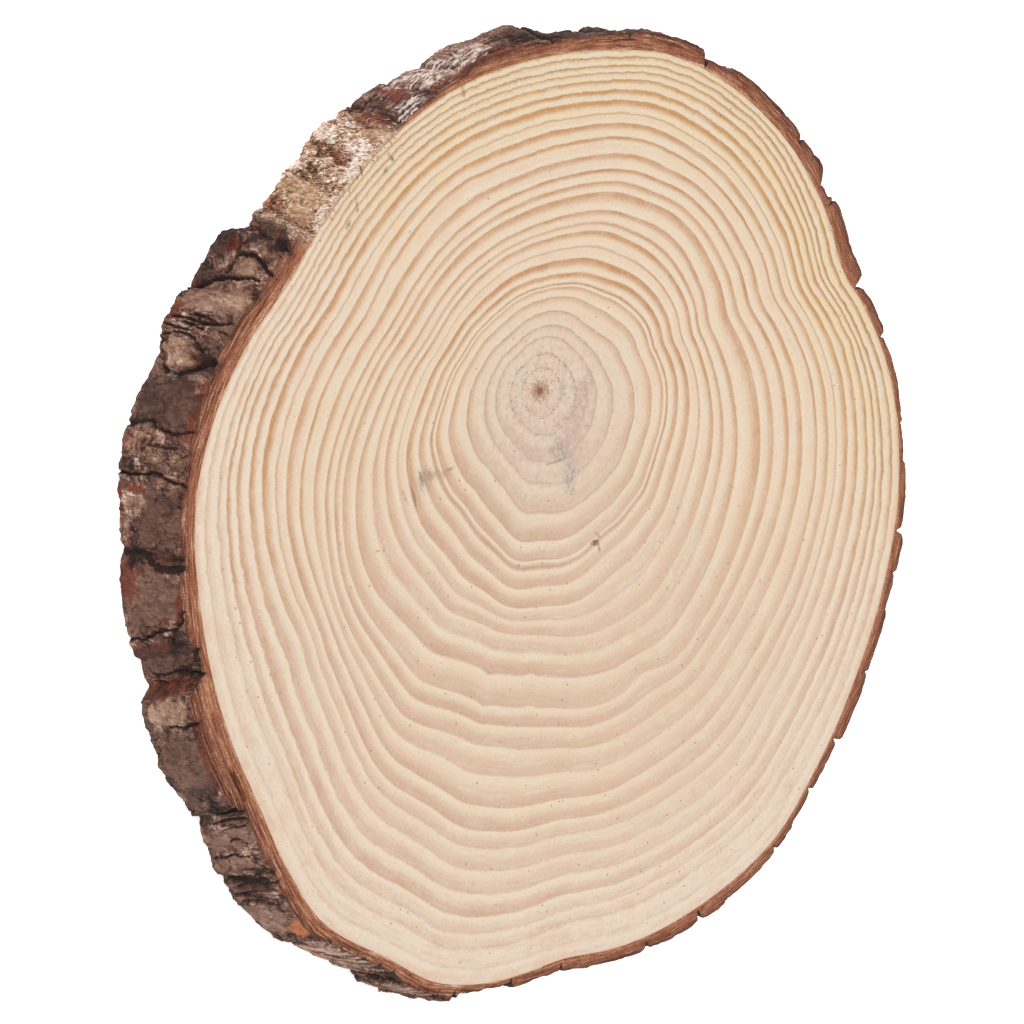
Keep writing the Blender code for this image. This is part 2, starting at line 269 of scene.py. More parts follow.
# Patches on the bark by kind: direction, height, half width round the trunk, half height, and how far the
# patch stands out. In the kind tone the last number says how much lighter the patch is.
BARK_PATCHES = {
    "knob": [
        (246.6, 18.3, 3.4, 4.9, 1), (259.1, 11.2, 4.3, 8, 1.6),
    ],
    "plain": [
        (251.2, 14, 6.4, 14, 0.3), (264.3, 14, 6.6, 14, 0.2), (277, 18, 9, 11, 0.4),
        (285.4, 14, 7.8, 14, 0.4), (291.6, 12, 4.4, 14, 0.3), (297.4, 15, 4.4, 11, 0.2),
        (304.5, 14, 11, 14, 0.2), (314.4, 14, 4, 13, 0.1), (318.5, 12, 3.2, 12, 0.1),
        (325.8, 12, 6.6, 13, 0.3), (350.4, 6, 3.2, 9, 0.8),
    ],
    "sheaf": [
        (208.5, 13, 31, 20, 0),
    ],
    "swell": [
        (196.2, 8, 7, 8, 0.9), (195.4, 7, 6.5, 10, 2.7), (188.2, 6, 8, 13, -2.4),
        (186, 12, 14, 16, -1.3), (175.5, 6, 11, 13, -1), (206, 4, 5, 14, -1.2), (225.8, 3, 4.5, 9, 0.6),
        (221.6, 6, 2.6, 12, -1.3), (230.8, 2, 4, 9, -1.6), (236.3, 2, 5, 9, -1.4),
        (231.5, 13, 3, 12, -0.9), (240, 14, 2.5, 9, -0.8), (269.4, 3, 8, 10, 1.6), (260, 2, 8, 9, -1.4),
        (278.5, 3, 5, 9, -1.3), (311.8, 3, 4, 8, -1.5), (318, 3, 5, 9, 1.3), (343, 3, 7, 9, -1.1),
        (301, 0, 6, 6, -1.2), (308.3, 0, 5, 9, -2.2), (327, 0, 9, 9, -2.4),
    ],
    # Whitish bark and fibres, part real colour and part painted highlight; the small patch at 261.6 is a
    # painted glint.
    "pale": [
        (208, 8, 5, 5, 0), (205.5, 17, 9, 7, 0), (210.5, 14, 6, 10, 0), (216, 22, 6, 3, 0),
        (213, 4, 4, 4, 0), (225.2, 5, 3, 6, 0), (230.8, 2, 2.4, 3, 0.2), (225.6, 21.5, 3.8, 4.5, 0.4),
        (228.5, 25, 5, 2.4, 0.2), (236, 26.4, 8, 1.3, 0), (217.5, 25.5, 4, 1.8, 0),
        (213.6, 10, 2, 1.5, 0), (221.8, 9, 2, 4, 0), (270.8, 7, 0.9, 1.6, 0), (261.6, 10.5, 0.5, 2.2, 0),
    ],
    # Darker bark; the patch at 197 is a crevice, and its darkness is painted shade.
    "dark": [
        (186, 14, 22, 16, -0.3), (197, 19.5, 6, 3.2, -1), (244.6, 3, 5, 5, 0), (242, 16, 4.5, 9, 0),
        (227.6, 9, 2.8, 5, -0.4), (231.6, 10, 3.6, 5, -0.3), (217.4, 10, 3.4, 5, -0.4),
        (219.6, 4, 2.6, 4, -0.3), (237, 9.5, 1.2, 1.6, 0), (343.2, 14, 3.6, 12, -0.2),
    ],
    "red": [
        (203, 24.5, 18, 2.6, 0), (211.5, 23.5, 4, 2.6, 0), (244.8, 7.5, 2.2, 3, 0),
        (254, 2, 3.8, 3.4, 0), (262.2, 26.2, 3.6, 1.2, 0), (266, 25.5, 5, 1.8, 0), (269, 7, 2.8, 5, 0),
        (273.9, 8.5, 1.3, 4, 0), (275.5, 1, 5, 2, 0), (283.9, 3.6, 4.4, 5.8, 0.2),
        (287.6, 19, 0.9, 1.4, 0), (286.3, 25.8, 4.6, 1.4, 0), (295, 13, 1.8, 14, 0),
        (303, 26, 14, 1.6, 0), (328.4, 25.5, 2.2, 3.2, 0), (334.5, 12, 2, 5, 0), (237, 4, 3, 3.5, 0),
        (214.6, 9, 3, 7, 0), (238.4, 4, 2.6, 3, 0), (214.2, 6, 3, 5, 0), (215.6, 17, 3, 4, 0),
        (220.5, 16, 4, 8, 0), (227.6, 18, 3, 4, 0),
    ],
    "tone": [
        (207.5, 12, 17, 14, 0.3), (216.5, 14, 6, 14, 0.1), (246.5, 6, 8, 9, -0.1),
        (250.9, 14, 6.5, 14, 0.2), (250.3, 22, 4, 6, 0.06), (259.1, 11.2, 4.5, 8.2, 0.25),
        (254.9, 13, 3, 11, 0.13), (264.3, 14, 7, 14, -0.2),
        (277.2, 16, 9, 12, -0.08), (285, 14, 8.5, 14, 0.02), (291.5, 14, 6, 14, -0.08),
        (297.5, 15, 4.4, 10, 0.2), (297.6, 5, 3.8, 6, 0.14), (303.5, 14, 9, 14, -0.03),
        (308, 18, 4.5, 10, -0.12), (316, 14, 10, 14, 0.2), (325.8, 12, 6.4, 14, 0.22),
        (323, 14, 1.6, 12, 0.25), (319.9, 10, 1.4, 10, 0.2), (336, 14, 12.5, 14, 0.36),
        (348.6, 14, 9, 14, 0.2), (275.7, 7.5, 3.4, 6.5, 0.26),
    ],
    "split": [
        (312, 17, 4, 10, 0), (321.2, 13, 6.4, 15, 0), (337, 13, 18, 20, 0), (350, 13, 16, 20, 0),
        (254.5, 17, 3, 10, 0),
    ],
    "orange": [
        (328.4, 24.5, 3.2, 4.6, 0), (223.4, 4, 1.8, 3.2, 0), (230.2, 21, 2.6, 3, 0),
    ],
    "tan": [
        (246.6, 18.3, 2.9, 4.2, 0), (259.2, 11.2, 4, 7.6, 0), (250.6, 22, 3.4, 5.5, 0),
        (270, 19, 2.8, 7, 0.3), (275.7, 7.5, 3.6, 6.5, 0.3), (268.9, 8, 3, 5, 0.2),
        (297.6, 14.5, 3.9, 10, 0), (234.4, 13, 4, 13, 0.5), (237.4, 18, 4.5, 7, 0.4),
        (222, 22.5, 3.6, 4.5, 0),
    ],
}

# Bark torn down to its fibres: first and last direction.
TORN_BARK = (221.0, 239.4)

# Split in the sawn edge: directions where it starts and ends, distance from the wood, width and depth.
BAND_SPLIT = (305.8, 311.2, 3.3, 0.8, 2.0)

# Light and camera

# White paper in this light would show as this share of display white.
LIGHT_LEVEL = 1.27

# Strength of the light from all round and of the key light, the key light's angle and the way it travels,
# and the floor's own glow.
SKY_STRENGTH = 0.97
KEY_STRENGTH = 1.5
KEY_ANGLE = 14.0
KEY_TRAVEL = (0.5, 0.8, -0.75)
FLOOR_GLOW = 0.52

# Tilt from straight above, roll, distance, the place looked at, and focal length.
CAMERA_TILT = 41.5
CAMERA_ROLL = 8.3
CAMERA_DISTANCE = 1400.0
CAMERA_TARGET = (1.5, -22.6, THICKNESS)
CAMERA_LENS = 163.4
SENSOR_WIDTH = 36.0


# Curves and noise

def polar(directions):
    turned = np.radians(directions)
    return np.cos(turned), np.sin(turned)


def smooth(low, high, value):
    """0 below low, 1 above high, and a smooth rise between them."""
    share = np.clip((value - low) / (high - low), 0.0, 1.0)
    return share * share * (3.0 - 2.0 * share)


def turn_between(a, b):
    """Signed turn from direction b to direction a, from -180 to 180."""
    return (np.asarray(a) - b + 180.0) % 360.0 - 180.0


def round_about(direction, first, last, directions):
    """1 round a direction, falling to 0 between these two turns from it."""
    return 1.0 - smooth(first, last, np.abs(turn_between(directions, direction)))


def closed_curve(points, directions):
    """Smooth closed curve through (direction, value) points, read at many directions."""
    at, value = np.array(points, float).T
    at = np.concatenate([at[-2:] - 360.0, at, at[:2] + 360.0])
    value = np.concatenate([value[-2:], value, value[:2]])
    slope = np.gradient(value, at)
    slope[1:-1] = (value[2:] - value[:-2]) / (at[2:] - at[:-2])
    directions = np.asarray(directions, float) % 360.0
    i = np.searchsorted(at, directions, side="right") - 1
    span = at[i + 1] - at[i]
    t = (directions - at[i]) / span
    rise = t * t * (3.0 - 2.0 * t)
    return (value[i] + (value[i + 1] - value[i]) * rise
            + span * slope[i] * t * (1.0 - t) ** 2
            - span * slope[i + 1] * t * t * (1.0 - t))


def fade(t):
    return t * t * t * (t * (6.0 * t - 15.0) + 10.0)


def bark_cells(around, height, across, along):
    """Grid closed round the trunk: columns in all, and column, row and place in the cell for each point."""
    count = round(BARK_GIRTH / across)
    x = around / BARK_GIRTH * count
    y = height / along + 4.0
    i, j = np.floor(x).astype(int), np.floor(y).astype(int)
    return count, i, j, x - i, y - j


def bark_noise(around, height, *layers):
    """Layers of noise added up, closed round the trunk: strength, width and height of features, and seed."""
    total = 0.0
    for strength, across, along, seed in layers:
        count, i, j, x, y = bark_cells(around, height, across, along)
        lattice = np.random.default_rng(SEED + seed).uniform(0.0, 2.0 * np.pi, (count, j.max() + 2))
        layer = np.zeros(x.shape)
        for right in (0, 1):
            for up in (0, 1):
                angle = lattice[(i + right) % count, j + up]
                slope = np.cos(angle) * (x - right) + np.sin(angle) * (y - up)
                layer += slope * (fade(x) if right else 1.0 - fade(x)) * (fade(y) if up else 1.0 - fade(y))
        total = total + strength * (1.5 * layer)
    return total


def bark_flakes(around, height, across, along, seed):
    """Flakes of bark: a number from -1 to 1 for each, the tilt of its surface and the mm to its edge."""
    count, i, j, x, y = bark_cells(around, height, across, along)
    rng = np.random.default_rng(SEED + seed)
    rows = j.max() + 3
    offset_x, offset_y = rng.uniform(0.1, 0.9, (2, count, rows))
    number, slope_x, slope_y = rng.uniform(-1.0, 1.0, (3, count, rows))
    nearest, second = np.full((2, *x.shape), 9.0)
    own, tilt = np.zeros((2, *x.shape))
    for right in (-1, 0, 1):
        for up in (-1, 0, 1):
            column, row = (i + right) % count, j + up
            dx = x - right - offset_x[column, row]
            dy = y - up - offset_y[column, row]
            distance = np.hypot(dx, dy)
            closer = distance < nearest
            second = np.where(closer, nearest, np.minimum(second, distance))
            own = np.where(closer, number[column, row], own)
            tilt = np.where(closer, slope_x[column, row] * dx + slope_y[column, row] * dy, tilt)
            nearest = np.minimum(nearest, distance)
    return own, tilt, (second - nearest) * 0.5 * across


def layered(body, around, height):
    """Surface cut into thin layers, and the mm to the nearest layer's edge, positive on its upper side."""
    slope_around = np.gradient(body, axis=0) / np.gradient(around, axis=0)
    slope_along = np.gradient(body, axis=1) / np.gradient(height, axis=1)
    slope = np.hypot(slope_around, slope_along) + 0.02
    count = body / LAYER_STEP
    part = count - np.floor(count)
    half = np.clip(0.22 * slope / LAYER_STEP, 0.03, 0.5)
    cut = np.floor(count) + smooth(0.5 - half, 0.5 + half, part)
    return cut * LAYER_STEP, (part - 0.5) * LAYER_STEP / slope


# Meshes

def new_object(name, vertices, faces, material):
    """Mesh from points in millimetres, with its object at the origin."""
    mesh = bpy.data.meshes.new(name)
    mesh.from_pydata((np.asarray(vertices) * MM).tolist(), [], faces)
    mesh.materials.append(material)
    made = bpy.data.objects.new(name, mesh)
    bpy.context.scene.collection.objects.link(made)
    return made


def store(mesh, name, values):
    attribute = mesh.attributes.new(name, "FLOAT", "POINT")
    attribute.data.foreach_set("value", np.asarray(values, np.float32))


def store_bake_map(mesh, corners):
    """Keeps one place on the bake map for each face corner, in the order of the mesh's loops."""
    layer = mesh.uv_layers.new(name="OFBake")
    layer.data.foreach_set("uv", np.asarray(corners, np.float32).ravel())


def finish_surface(mesh, angle):
    """Smooth shading that stops at edges sharper than this angle."""
    mesh.shade_smooth()
    mesh.set_sharp_from_angle(angle=np.radians(angle))


# Wood

def wood_radius(directions):
    return closed_curve(WOOD_EDGE, directions)


def edge_from_pith(directions):
    """Distance from the pith to the edge of the wood."""
    about = np.arange(0.0, 360.0, 0.1)
    radius = wood_radius(about)
    cos, sin = polar(about)
    x = WOOD_CENTRE[0] + radius * cos - PITH[0]
    y = WOOD_CENTRE[1] + radius * sin - PITH[1]
    return np.interp(directions, np.degrees(np.arctan2(y, x)) % 360.0, np.hypot(x, y), period=360.0)


def ring_softness(directions):
    return round_about(SOFT_DIRECTION, *SOFT_FADE, directions)


def ring_wobble(directions, growth):
    """Small waviness of the rings, which changes slowly from ring to ring."""
    rng = np.random.default_rng(SEED)
    total = np.zeros(len(directions))
    for waves in range(6, 34, 2):
        start, drift = rng.uniform(0.0, 2.0 * np.pi), rng.uniform(-0.09, 0.09)
        total += np.sin(np.radians(waves * directions) + start + drift * growth) * 6.0 / waves
    return RING_WOBBLE * total


def ring_radius(directions, growth):
    """Distance from the pith to the ring of this growth, in each direction."""
    level = [0.0] + [course[0] for course in RING_COURSES] + [EDGE_GROWTH]
    i = min(int(np.searchsorted(level, growth, side="right")) - 1, len(level) - 2)

    def course(k):
        if k in (0, len(level) - 1):
            return np.full(len(directions), level[k])
        return closed_curve(RING_COURSES[k - 1][1], directions)

    share = (growth - level[i]) / (level[i + 1] - level[i])
    reach = course(i) * (1.0 - share) + course(i + 1) * share
    taper = min(1.0, (EDGE_GROWTH - growth) / 4.0) * min(1.0, growth / 12.0)
    reach = reach + taper * ring_wobble(directions, growth)
    for direction, half_width, middle, half_range, shift in RING_SWERVES:
        away = turn_between(directions, direction) / half_width
        reach = reach + taper * shift * np.exp(-away ** 2 - ((growth - middle) / half_range) ** 2)
    outline = edge_from_pith(directions) / EDGE_GROWTH
    follow = smooth(ROUND_GROWTH, OUTLINE_GROWTH, reach)
    return reach * (1.0 + (outline - 1.0) * follow)


def ring_start(number):
    """Growth at a ring's inner edge."""
    return RINGS[number - 1][0] if number else 0.0


def ring_rows(step):
    """Rows of points from the pith outwards: growth, number of the ring and share of the ring passed."""
    rows = []
    for number, (outer, *_) in enumerate(RINGS):
        inner = ring_start(number)
        steps = max(2, round((outer - inner) / step))
        rows += [(inner + (outer - inner) * k / steps, number, k / steps) for k in range(1, steps + 1)]
    return rows


def ring_look(number, directions):
    """Latewood width, latewood strength and edge line strength of a ring in each direction."""
    outer, width, strengths, line = RINGS[number]
    strength = closed_curve(list(zip(range(0, 360, 60), strengths)), directions)
    soft = ring_softness(directions)
    strength = strength * (1.0 + soft * np.random.default_rng(SEED + number).uniform(-0.4, 0.45))
    faint = np.exp(-(turn_between(directions, FAINT_DIRECTION) / FAINT_HALF_WIDTH) ** 2)
    strength = strength * (1.0 - FAINT_SHARE * faint)
    room = outer - ring_start(number)
    width = width + soft * (min(0.7 * room, 1.4 * width + 1.1) - width)
    return width, np.clip(strength, 0.0, 1.0), line * (1.0 - 0.4 * soft)


def wood_face(directions, step, height, downwards):
    """Points and values of one sawn face, row by row from the pith to the edge."""
    cos, sin = polar(directions)
    points = [np.array([[PITH[0], PITH[1], height]])]
    values = {name: [[0.0]] for name in WOOD_VALUES}
    values["ring_width"] = [[RINGS[0][0]]]
    for growth, number, share in ring_rows(step):
        radius = ring_radius(directions, growth)
        sunk = PITH_HOLLOW * np.exp(-(radius / PITH_HOLLOW_WIDTH) ** 2)
        z = height + downwards * sunk
        points.append(np.stack([PITH[0] + radius * cos, PITH[1] + radius * sin, z], 1))
        width, strength, line = ring_look(number, directions)
        stretch = radius / growth
        row = {
            "ring": np.full(len(directions), number + share),
            "ring_width": (RINGS[number][0] - ring_start(number)) * stretch,
            "late_width": width * stretch, "late": strength, "line": line,
            "soft": ring_softness(directions), "growth": np.full(len(directions), growth),
            "yellow": round_about(YELLOW_DIRECTION, *YELLOW_FADE, directions),
        }
        for name, array in row.items():
            values[name].append(array)
    return np.concatenate(points), {name: np.concatenate(rows) for name, rows in values.items()}


def build_wood(material):
    """The wood: two ringed sawn faces joined by a side wall, which the bark covers."""
    directions = np.arange(WOOD_COLUMNS) * 360.0 / WOOD_COLUMNS
    upper, upper_values = wood_face(directions, ROW_STEP, THICKNESS, -1.0)
    lower, lower_values = wood_face(directions, LOWER_ROW_STEP, 0.0, 1.0)
    start = len(upper)
    count = WOOD_COLUMNS
    pairs = [(a, (a + 1) % count) for a in range(count)]

    def strip(inner, outer):
        return [(inner + a, outer + a, outer + b, inner + b) for a, b in pairs]

    def sawn_face(first, points, looks_up):
        ring = first + 1
        fan = [(first, ring + a, ring + b) if looks_up else (first, ring + b, ring + a) for a, b in pairs]
        quads = []
        for inner in range(ring, first + len(points) - count, count):
            quads += strip(inner, inner + count)
        return fan + (quads if looks_up else [quad[::-1] for quad in quads])

    faces = sawn_face(0, upper, True) + sawn_face(start, lower, False)
    wall_start = len(faces)
    faces += strip(start - count, start + len(lower) - count)
    points = np.concatenate([upper, lower])
    wood = new_object("wood", points, faces, material)
    mesh = wood.data
    for name in WOOD_VALUES:
        store(mesh, name, np.concatenate([upper_values[name], lower_values[name]]))

    # The upper face fills most of the bake map, and the lower face one of its corners.
    places = points[:, :2] / FACE_SPAN
    loops = np.zeros(len(mesh.loops), np.int32)
    mesh.loops.foreach_get("vertex_index", loops)
    corners = places[loops] * UPPER_MAP[0] + UPPER_MAP[1]
    from_below = loops >= start
    corners[from_below] = places[loops[from_below]] * LOWER_MAP[0] + LOWER_MAP[1]

    # The side wall is a thin strip along the bottom.
    wall = mesh.polygons[wall_start].loop_start
    share = np.repeat(np.arange(count), 4) / count
    step = np.tile([0.0, 0.0, 1.0, 1.0], count) / count
    rise = np.tile([0.008, 0.0, 0.0, 0.008], count)
    corners[wall:] = np.stack([0.66 + 0.33 * (share + step), 0.01 + rise], 1)
    store_bake_map(mesh, corners)
    finish_surface(mesh, 50.0)
    return wood


# Bark

def bark_directions():
    """Directions of the bark's columns, closer together on the near side and at the far side's furrows."""
    near = np.arange(NEAR_SIDE[0], NEAR_SIDE[1], NEAR_COLUMN)
    far = np.arange(NEAR_SIDE[1], NEAR_SIDE[0] + 360.0, FAR_COLUMN)
    starts = [p[0] for p in BARK_PLATES if not NEAR_SIDE[0] < p[0] < NEAR_SIDE[1]]
    close = np.add.outer(starts, FURROW_COLUMNS).ravel()
    far = [direction for direction in far % 360.0 if np.abs(turn_between(close, direction)).min() > 0.15]
    return np.sort(np.concatenate([near, far, close]) % 360.0)


def far_side(directions):
    """1 on the side away from the camera and 0 on the near side."""
    return round_about(FAR_DIRECTION, *FAR_FADE, directions)


def bark_lean(directions):
    """How far a line down the bark has turned by the lower face."""
    return np.interp(directions, [p[0] for p in BARK_PLATES], [p[1] for p in BARK_PLATES], period=360.0)


def girth_place(directions):
    """Millimetres round the trunk at which each direction lies."""
    return np.asarray(directions) / 360.0 * BARK_GIRTH


def between(first, last, blur_in, blur_out, directions):
    """1 between two directions, with a smooth change of this many degrees round each of them."""
    rise = smooth(first - blur_in, first + blur_in, directions)
    return rise * (1.0 - smooth(last - blur_out, last + blur_out, directions))


def crack_depth(around, height):
    """Depth of the named cracks at each place, and a mask that is 1 inside them."""
    depth = np.zeros(around.shape)
    mask = np.zeros(around.shape)
    for path, width_1, depth_1, width_2, depth_2 in BARK_CRACKS:
        length = len(path) - 1
        for k in range(length):
            ax, ay = girth_place(path[k][0]), path[k][1]
            bx, by = girth_place(path[k + 1][0]), path[k + 1][1]
            along = (around - ax) * (bx - ax) + (height - ay) * (by - ay)
            t = np.clip(along / ((bx - ax) ** 2 + (by - ay) ** 2), 0.0, 1.0)
            away = np.hypot(around - ax - t * (bx - ax), height - ay - t * (by - ay))
            share = (k + t) / length
            width = CRACK_WIDTH * (width_1 + (width_2 - width_1) * share)
            inside = 1.0 - smooth(0.3, 1.0, away / (0.5 * width + 0.2))
            depth = np.maximum(depth, inside * (depth_1 + (depth_2 - depth_1) * share))
            mask = np.maximum(mask, inside)
    return depth, mask


def patch_masks(around, height):
    """A mask for each kind of patch, and how far the patches stand out.

    The mask of the kind tone says how much lighter they are.
    """
    masks = {}
    lift = np.zeros(around.shape)
    edge = bark_noise(around, height, (0.3, 3.2, 3.6, 41), (0.22, 1.3, 1.5, 42))
    for kind, patches in BARK_PATCHES.items():
        masks[kind] = np.zeros(around.shape)
        for direction, middle, half_width, half_height, amount in patches:
            x = (around - girth_place(direction)) / half_width
            y = (height - middle) / half_height
            away = (np.abs(x) ** PATCH_SQUARENESS + np.abs(y) ** PATCH_SQUARENESS) ** (1 / PATCH_SQUARENESS)
            inside = 1.0 - smooth(0.8, 1.1, away + edge)
            if kind == "tone":
                masks[kind] += amount * inside
                continue
            if kind == "swell":
                lift += amount * np.exp(-(x * x + y * y))
                continue
            masks[kind] = np.maximum(masks[kind], inside)
            dome = 1.0 - 0.35 * (x * x + y * y) if kind == "knob" else 1.0
            lift += amount * inside * dome
    return masks, lift


def plate_relief(shifted, share):
    """Thickness of the plates, depth of the furrows, dome over each plate and mm to the nearest furrow."""
    starts, _, above, below, furrow = (np.array(column) for column in zip(*BARK_PLATES))
    plate = (np.searchsorted(starts, shifted, side="right") - 1) % len(starts)
    following = (plate + 1) % len(starts)
    from_start = girth_place((shifted - starts[plate]) % 360.0)
    to_end = girth_place((starts[following] - shifted) % 360.0)
    own = below[plate] + (above[plate] - below[plate]) * share
    last = below[plate - 1] + (above[plate - 1] - below[plate - 1]) * share
    rise = smooth(0.0, 0.5 + PLATE_STEP * np.abs(own - last), from_start)
    behind = np.exp(-(from_start / (0.25 + 0.2 * furrow[plate])) ** 2) * furrow[plate]
    ahead = np.exp(-(to_end / (0.25 + 0.2 * furrow[following])) ** 2) * furrow[following]
    dome = (1.0 - np.exp(-from_start / 2.5)) * (1.0 - np.exp(-to_end / 2.5))
    return last + (own - last) * rise, np.maximum(behind, ahead), dome, np.minimum(from_start, to_end)


def bark_relief(directions, height):
    """Thickness of the bark over the wood on a grid of directions and heights, and values for its finish."""
    share = height / THICKNESS
    down = THICKNESS - height
    around = girth_place(directions)
    away = far_side(directions)

    def noise(*layers):
        return bark_noise(around, height, *layers)

    # Plates and the furrows between them
    wander = noise((0.8, 9.0, 9.0, 1), (0.45, 2.6, 3.0, 2), (0.3, 1.1, 1.3, 4))
    wander = wander * (1.0 - away * (0.85 - 0.4 * smooth(3.0, 10.0, down)))
    shifted = (directions + wander / BARK_GIRTH * 360.0) % 360.0
    thickness, gap, dome, to_furrow = plate_relief(shifted, share)
    gap = gap * np.clip(0.7 + noise((0.7, 8.0, 6.0, 3)), 0.1, 1.2)
    masks, lift = patch_masks(around, height)
    straight = 1.0 - 0.85 * masks["split"]
    cracks, in_crack = crack_depth(
        around + 0.9 * wander * straight, height + noise((0.5, 2.0, 2.0, 5)) * straight)
    tear = between(*TORN_BARK, 2.0, 2.0, directions) * (1.0 - 0.8 * masks["knob"])
    calm = np.maximum(masks["plain"], masks["knob"])
    rough = (1.0 - 0.72 * calm) * (1.0 - 0.85 * masks["split"]) * (1.0 - 0.8 * masks["sheaf"])
    gap = gap * (1.0 - 0.8 * calm) * (1.0 - 0.75 * between(*CRACKED_BARK, 1.5, 2.0, directions))

    # Thin layers of bark, broken off along wavy lines
    warp_x = around + noise((1.8, 7.0, 9.0, 11), (0.6, 2.2, 3.0, 12))
    warp_y = height + 6.0 + noise((2.2, 6.0, 8.0, 13))
    swell = bark_noise(warp_x, warp_y, (0.95, 9.0, 14.0, 20), (0.55, 3.6, 6.5, 23), (0.2, 1.5, 2.4, 24))
    body = 1.1 * dome + rough * swell + lift
    layers, to_edge = layered(body, around, height)
    layers = layers + (body - layers) * np.maximum(0.25, tear)

    # Flakes at three sizes, each with its own tilt
    big, big_tilt, big_edge = bark_flakes(warp_x, warp_y, 8.5, 13.0, 14)
    small, small_tilt, small_edge = bark_flakes(warp_x, warp_y, 3.4, 6.0, 15)
    tiny, tiny_tilt, _ = bark_flakes(warp_x, warp_y, 1.5, 2.6, 16)
    broken = smooth(-0.2, 0.5, noise((1.0, 6.0, 7.0, 25)))
    flakes = 0.25 * big + 0.45 * big_tilt + 0.15 * small + 0.28 * small_tilt + 0.06 * tiny + 0.14 * tiny_tilt
    seams = 0.35 * (1.0 - smooth(0.0, 0.5, big_edge)) + 0.22 * (1.0 - smooth(0.0, 0.4, small_edge))
    seams = broken * seams

    # Long slivers that lean away from the trunk's line, with slits and ledges between them
    leaning = around + 0.2 * wander - (0.12 + 0.3 * smooth(*LEANING_BARK, directions)) * height
    slit = bark_noise(leaning, height, (1.0, 1.9, 24.0, 27), (0.3, 1.0, 9.0, 28))
    slit = masks["split"] * smooth(0.18, 0.36, slit)
    ledge = masks["split"] * bark_noise(leaning, height, (1.0, 3.2, 28.0, 29), (0.4, 1.2, 16.0, 44))
    thread = masks["split"] * bark_noise(leaning, height, (1.0, 0.8, 18.0, 47))

    # Scales that overlap like tiles, each with its own tone
    lap = noise((0.6, 19.0, 9.0, 30), (0.2, 6.0, 4.0, 43))
    lap = lap - (height + 0.3 * wander + 0.06 * around) / CHIP_STEP
    scale_tone = bark_noise(around, -3.0 * np.floor(lap), (0.32, 13.0, 2.0, 46))
    lap = lap - np.floor(lap)
    chip = np.where(lap < 0.8, lap / 0.8, (1.0 - lap) / 0.2)
    bold = masks["sheaf"] * smooth(-0.4, 0.3, noise((1.0, 9.0, 4.0, 45)))

    # Streaks that run along the trunk, grit, and the nap of torn bark
    streak = noise((1.0, 0.9, 7.0, 17), (0.7, 0.55, 3.0, 18))
    grit = noise((1.0, 0.8, 0.9, 19))
    nap = bark_noise(around + 0.2 * height, height, (0.4, 1.6, 4.6, 21))
    nap = nap + bark_noise(around - 0.3 * height, height + 30.0, (0.2, 1.0, 3.0, 22))

    relief = layers - 0.85 + (1.0 - 0.7 * tear) * rough * (flakes - seams) + 0.12 * streak + 0.1 * grit
    relief = relief + 0.9 * ledge - 1.0 * slit + 0.35 * thread + 0.6 * bold * (chip - 0.5)
    relief = relief + tear * nap

    # Just under the upper rim the relief is smaller, so that the outline seen from above keeps its place.
    at_rim = 0.6 - 0.25 * away
    below_rim = at_rim + (1.0 - at_rim) * smooth(0.0, 4.0, down)
    thickness = thickness + BARK_BULGE * 4.0 * share * (1.0 - share) + relief * below_rim - gap - cracks
    thickness = thickness + THICK_BARK * round_about(THICK_DIRECTION, *THICK_FADE, directions)
    thickness = np.maximum(thickness, THINNEST_BARK + 0.15 * grit)

    # Bands just below and just above each layer's edge, where shade and highlight are painted.
    lower_side = np.exp(-((to_edge + 0.25) / 0.3) ** 2) * (0.45 + 0.4 * broken) * (1.0 - tear)
    upper_side = np.exp(-((to_edge - 0.3) / 0.3) ** 2) * (1.0 - tear)
    values = {name: masks[name] for name in ("orange", "tan", "sheaf", "dark", "knob")}
    # Painted shade: darkness in furrows, cracks, flake seams, slits, under layer edges and at the feet of the
    # scales.
    values["hollow_shade"] = np.clip(
        gap / 1.4 + 1.1 * in_crack + 0.7 * (1.0 - 0.6 * calm) * lower_side + 1.2 * rough * seams
        + 0.8 * slit + 1.3 * bold * (1.0 - smooth(0.08, 0.3, chip)), 0.0, 1.0)
    # Painted highlight on the upper side of layer edges, on ledges and on the scales' tops.
    values["crest_highlight"] = np.clip(
        upper_side * (0.5 + 0.5 * small) + smooth(0.15, 0.55, ledge) + 0.5 * bold * smooth(0.55, 0.95, chip),
        0.0, 1.0)
    # Tone: the patches' and flakes' own tone, with painted light on raised ledges, threads and plate middles
    # and painted shade towards the furrows.
    values["tone"] = (0.46 + masks["tone"] + rough * (0.16 * big + 0.14 * small) + 0.07 * tiny
                      + 0.12 * (dome - 0.7) + 0.3 * ledge + 0.3 * thread + bold * scale_tone)
    values["red"] = np.clip(masks["red"] + 0.8 * np.exp(-to_furrow / 1.3) * smooth(-0.1, 0.4, big), 0.0, 1.0)
    # Pale bark stays off the scales' feet, where painted shade lies.
    hidden = bold * (1.0 - smooth(0.2, 0.5, chip))
    values["pale"] = masks["pale"] * (1.0 - hidden) * (1.0 - 0.1 * masks["sheaf"])
    values.update(calm=calm, torn=tear, gap=gap, layer=thickness)
    return thickness, values


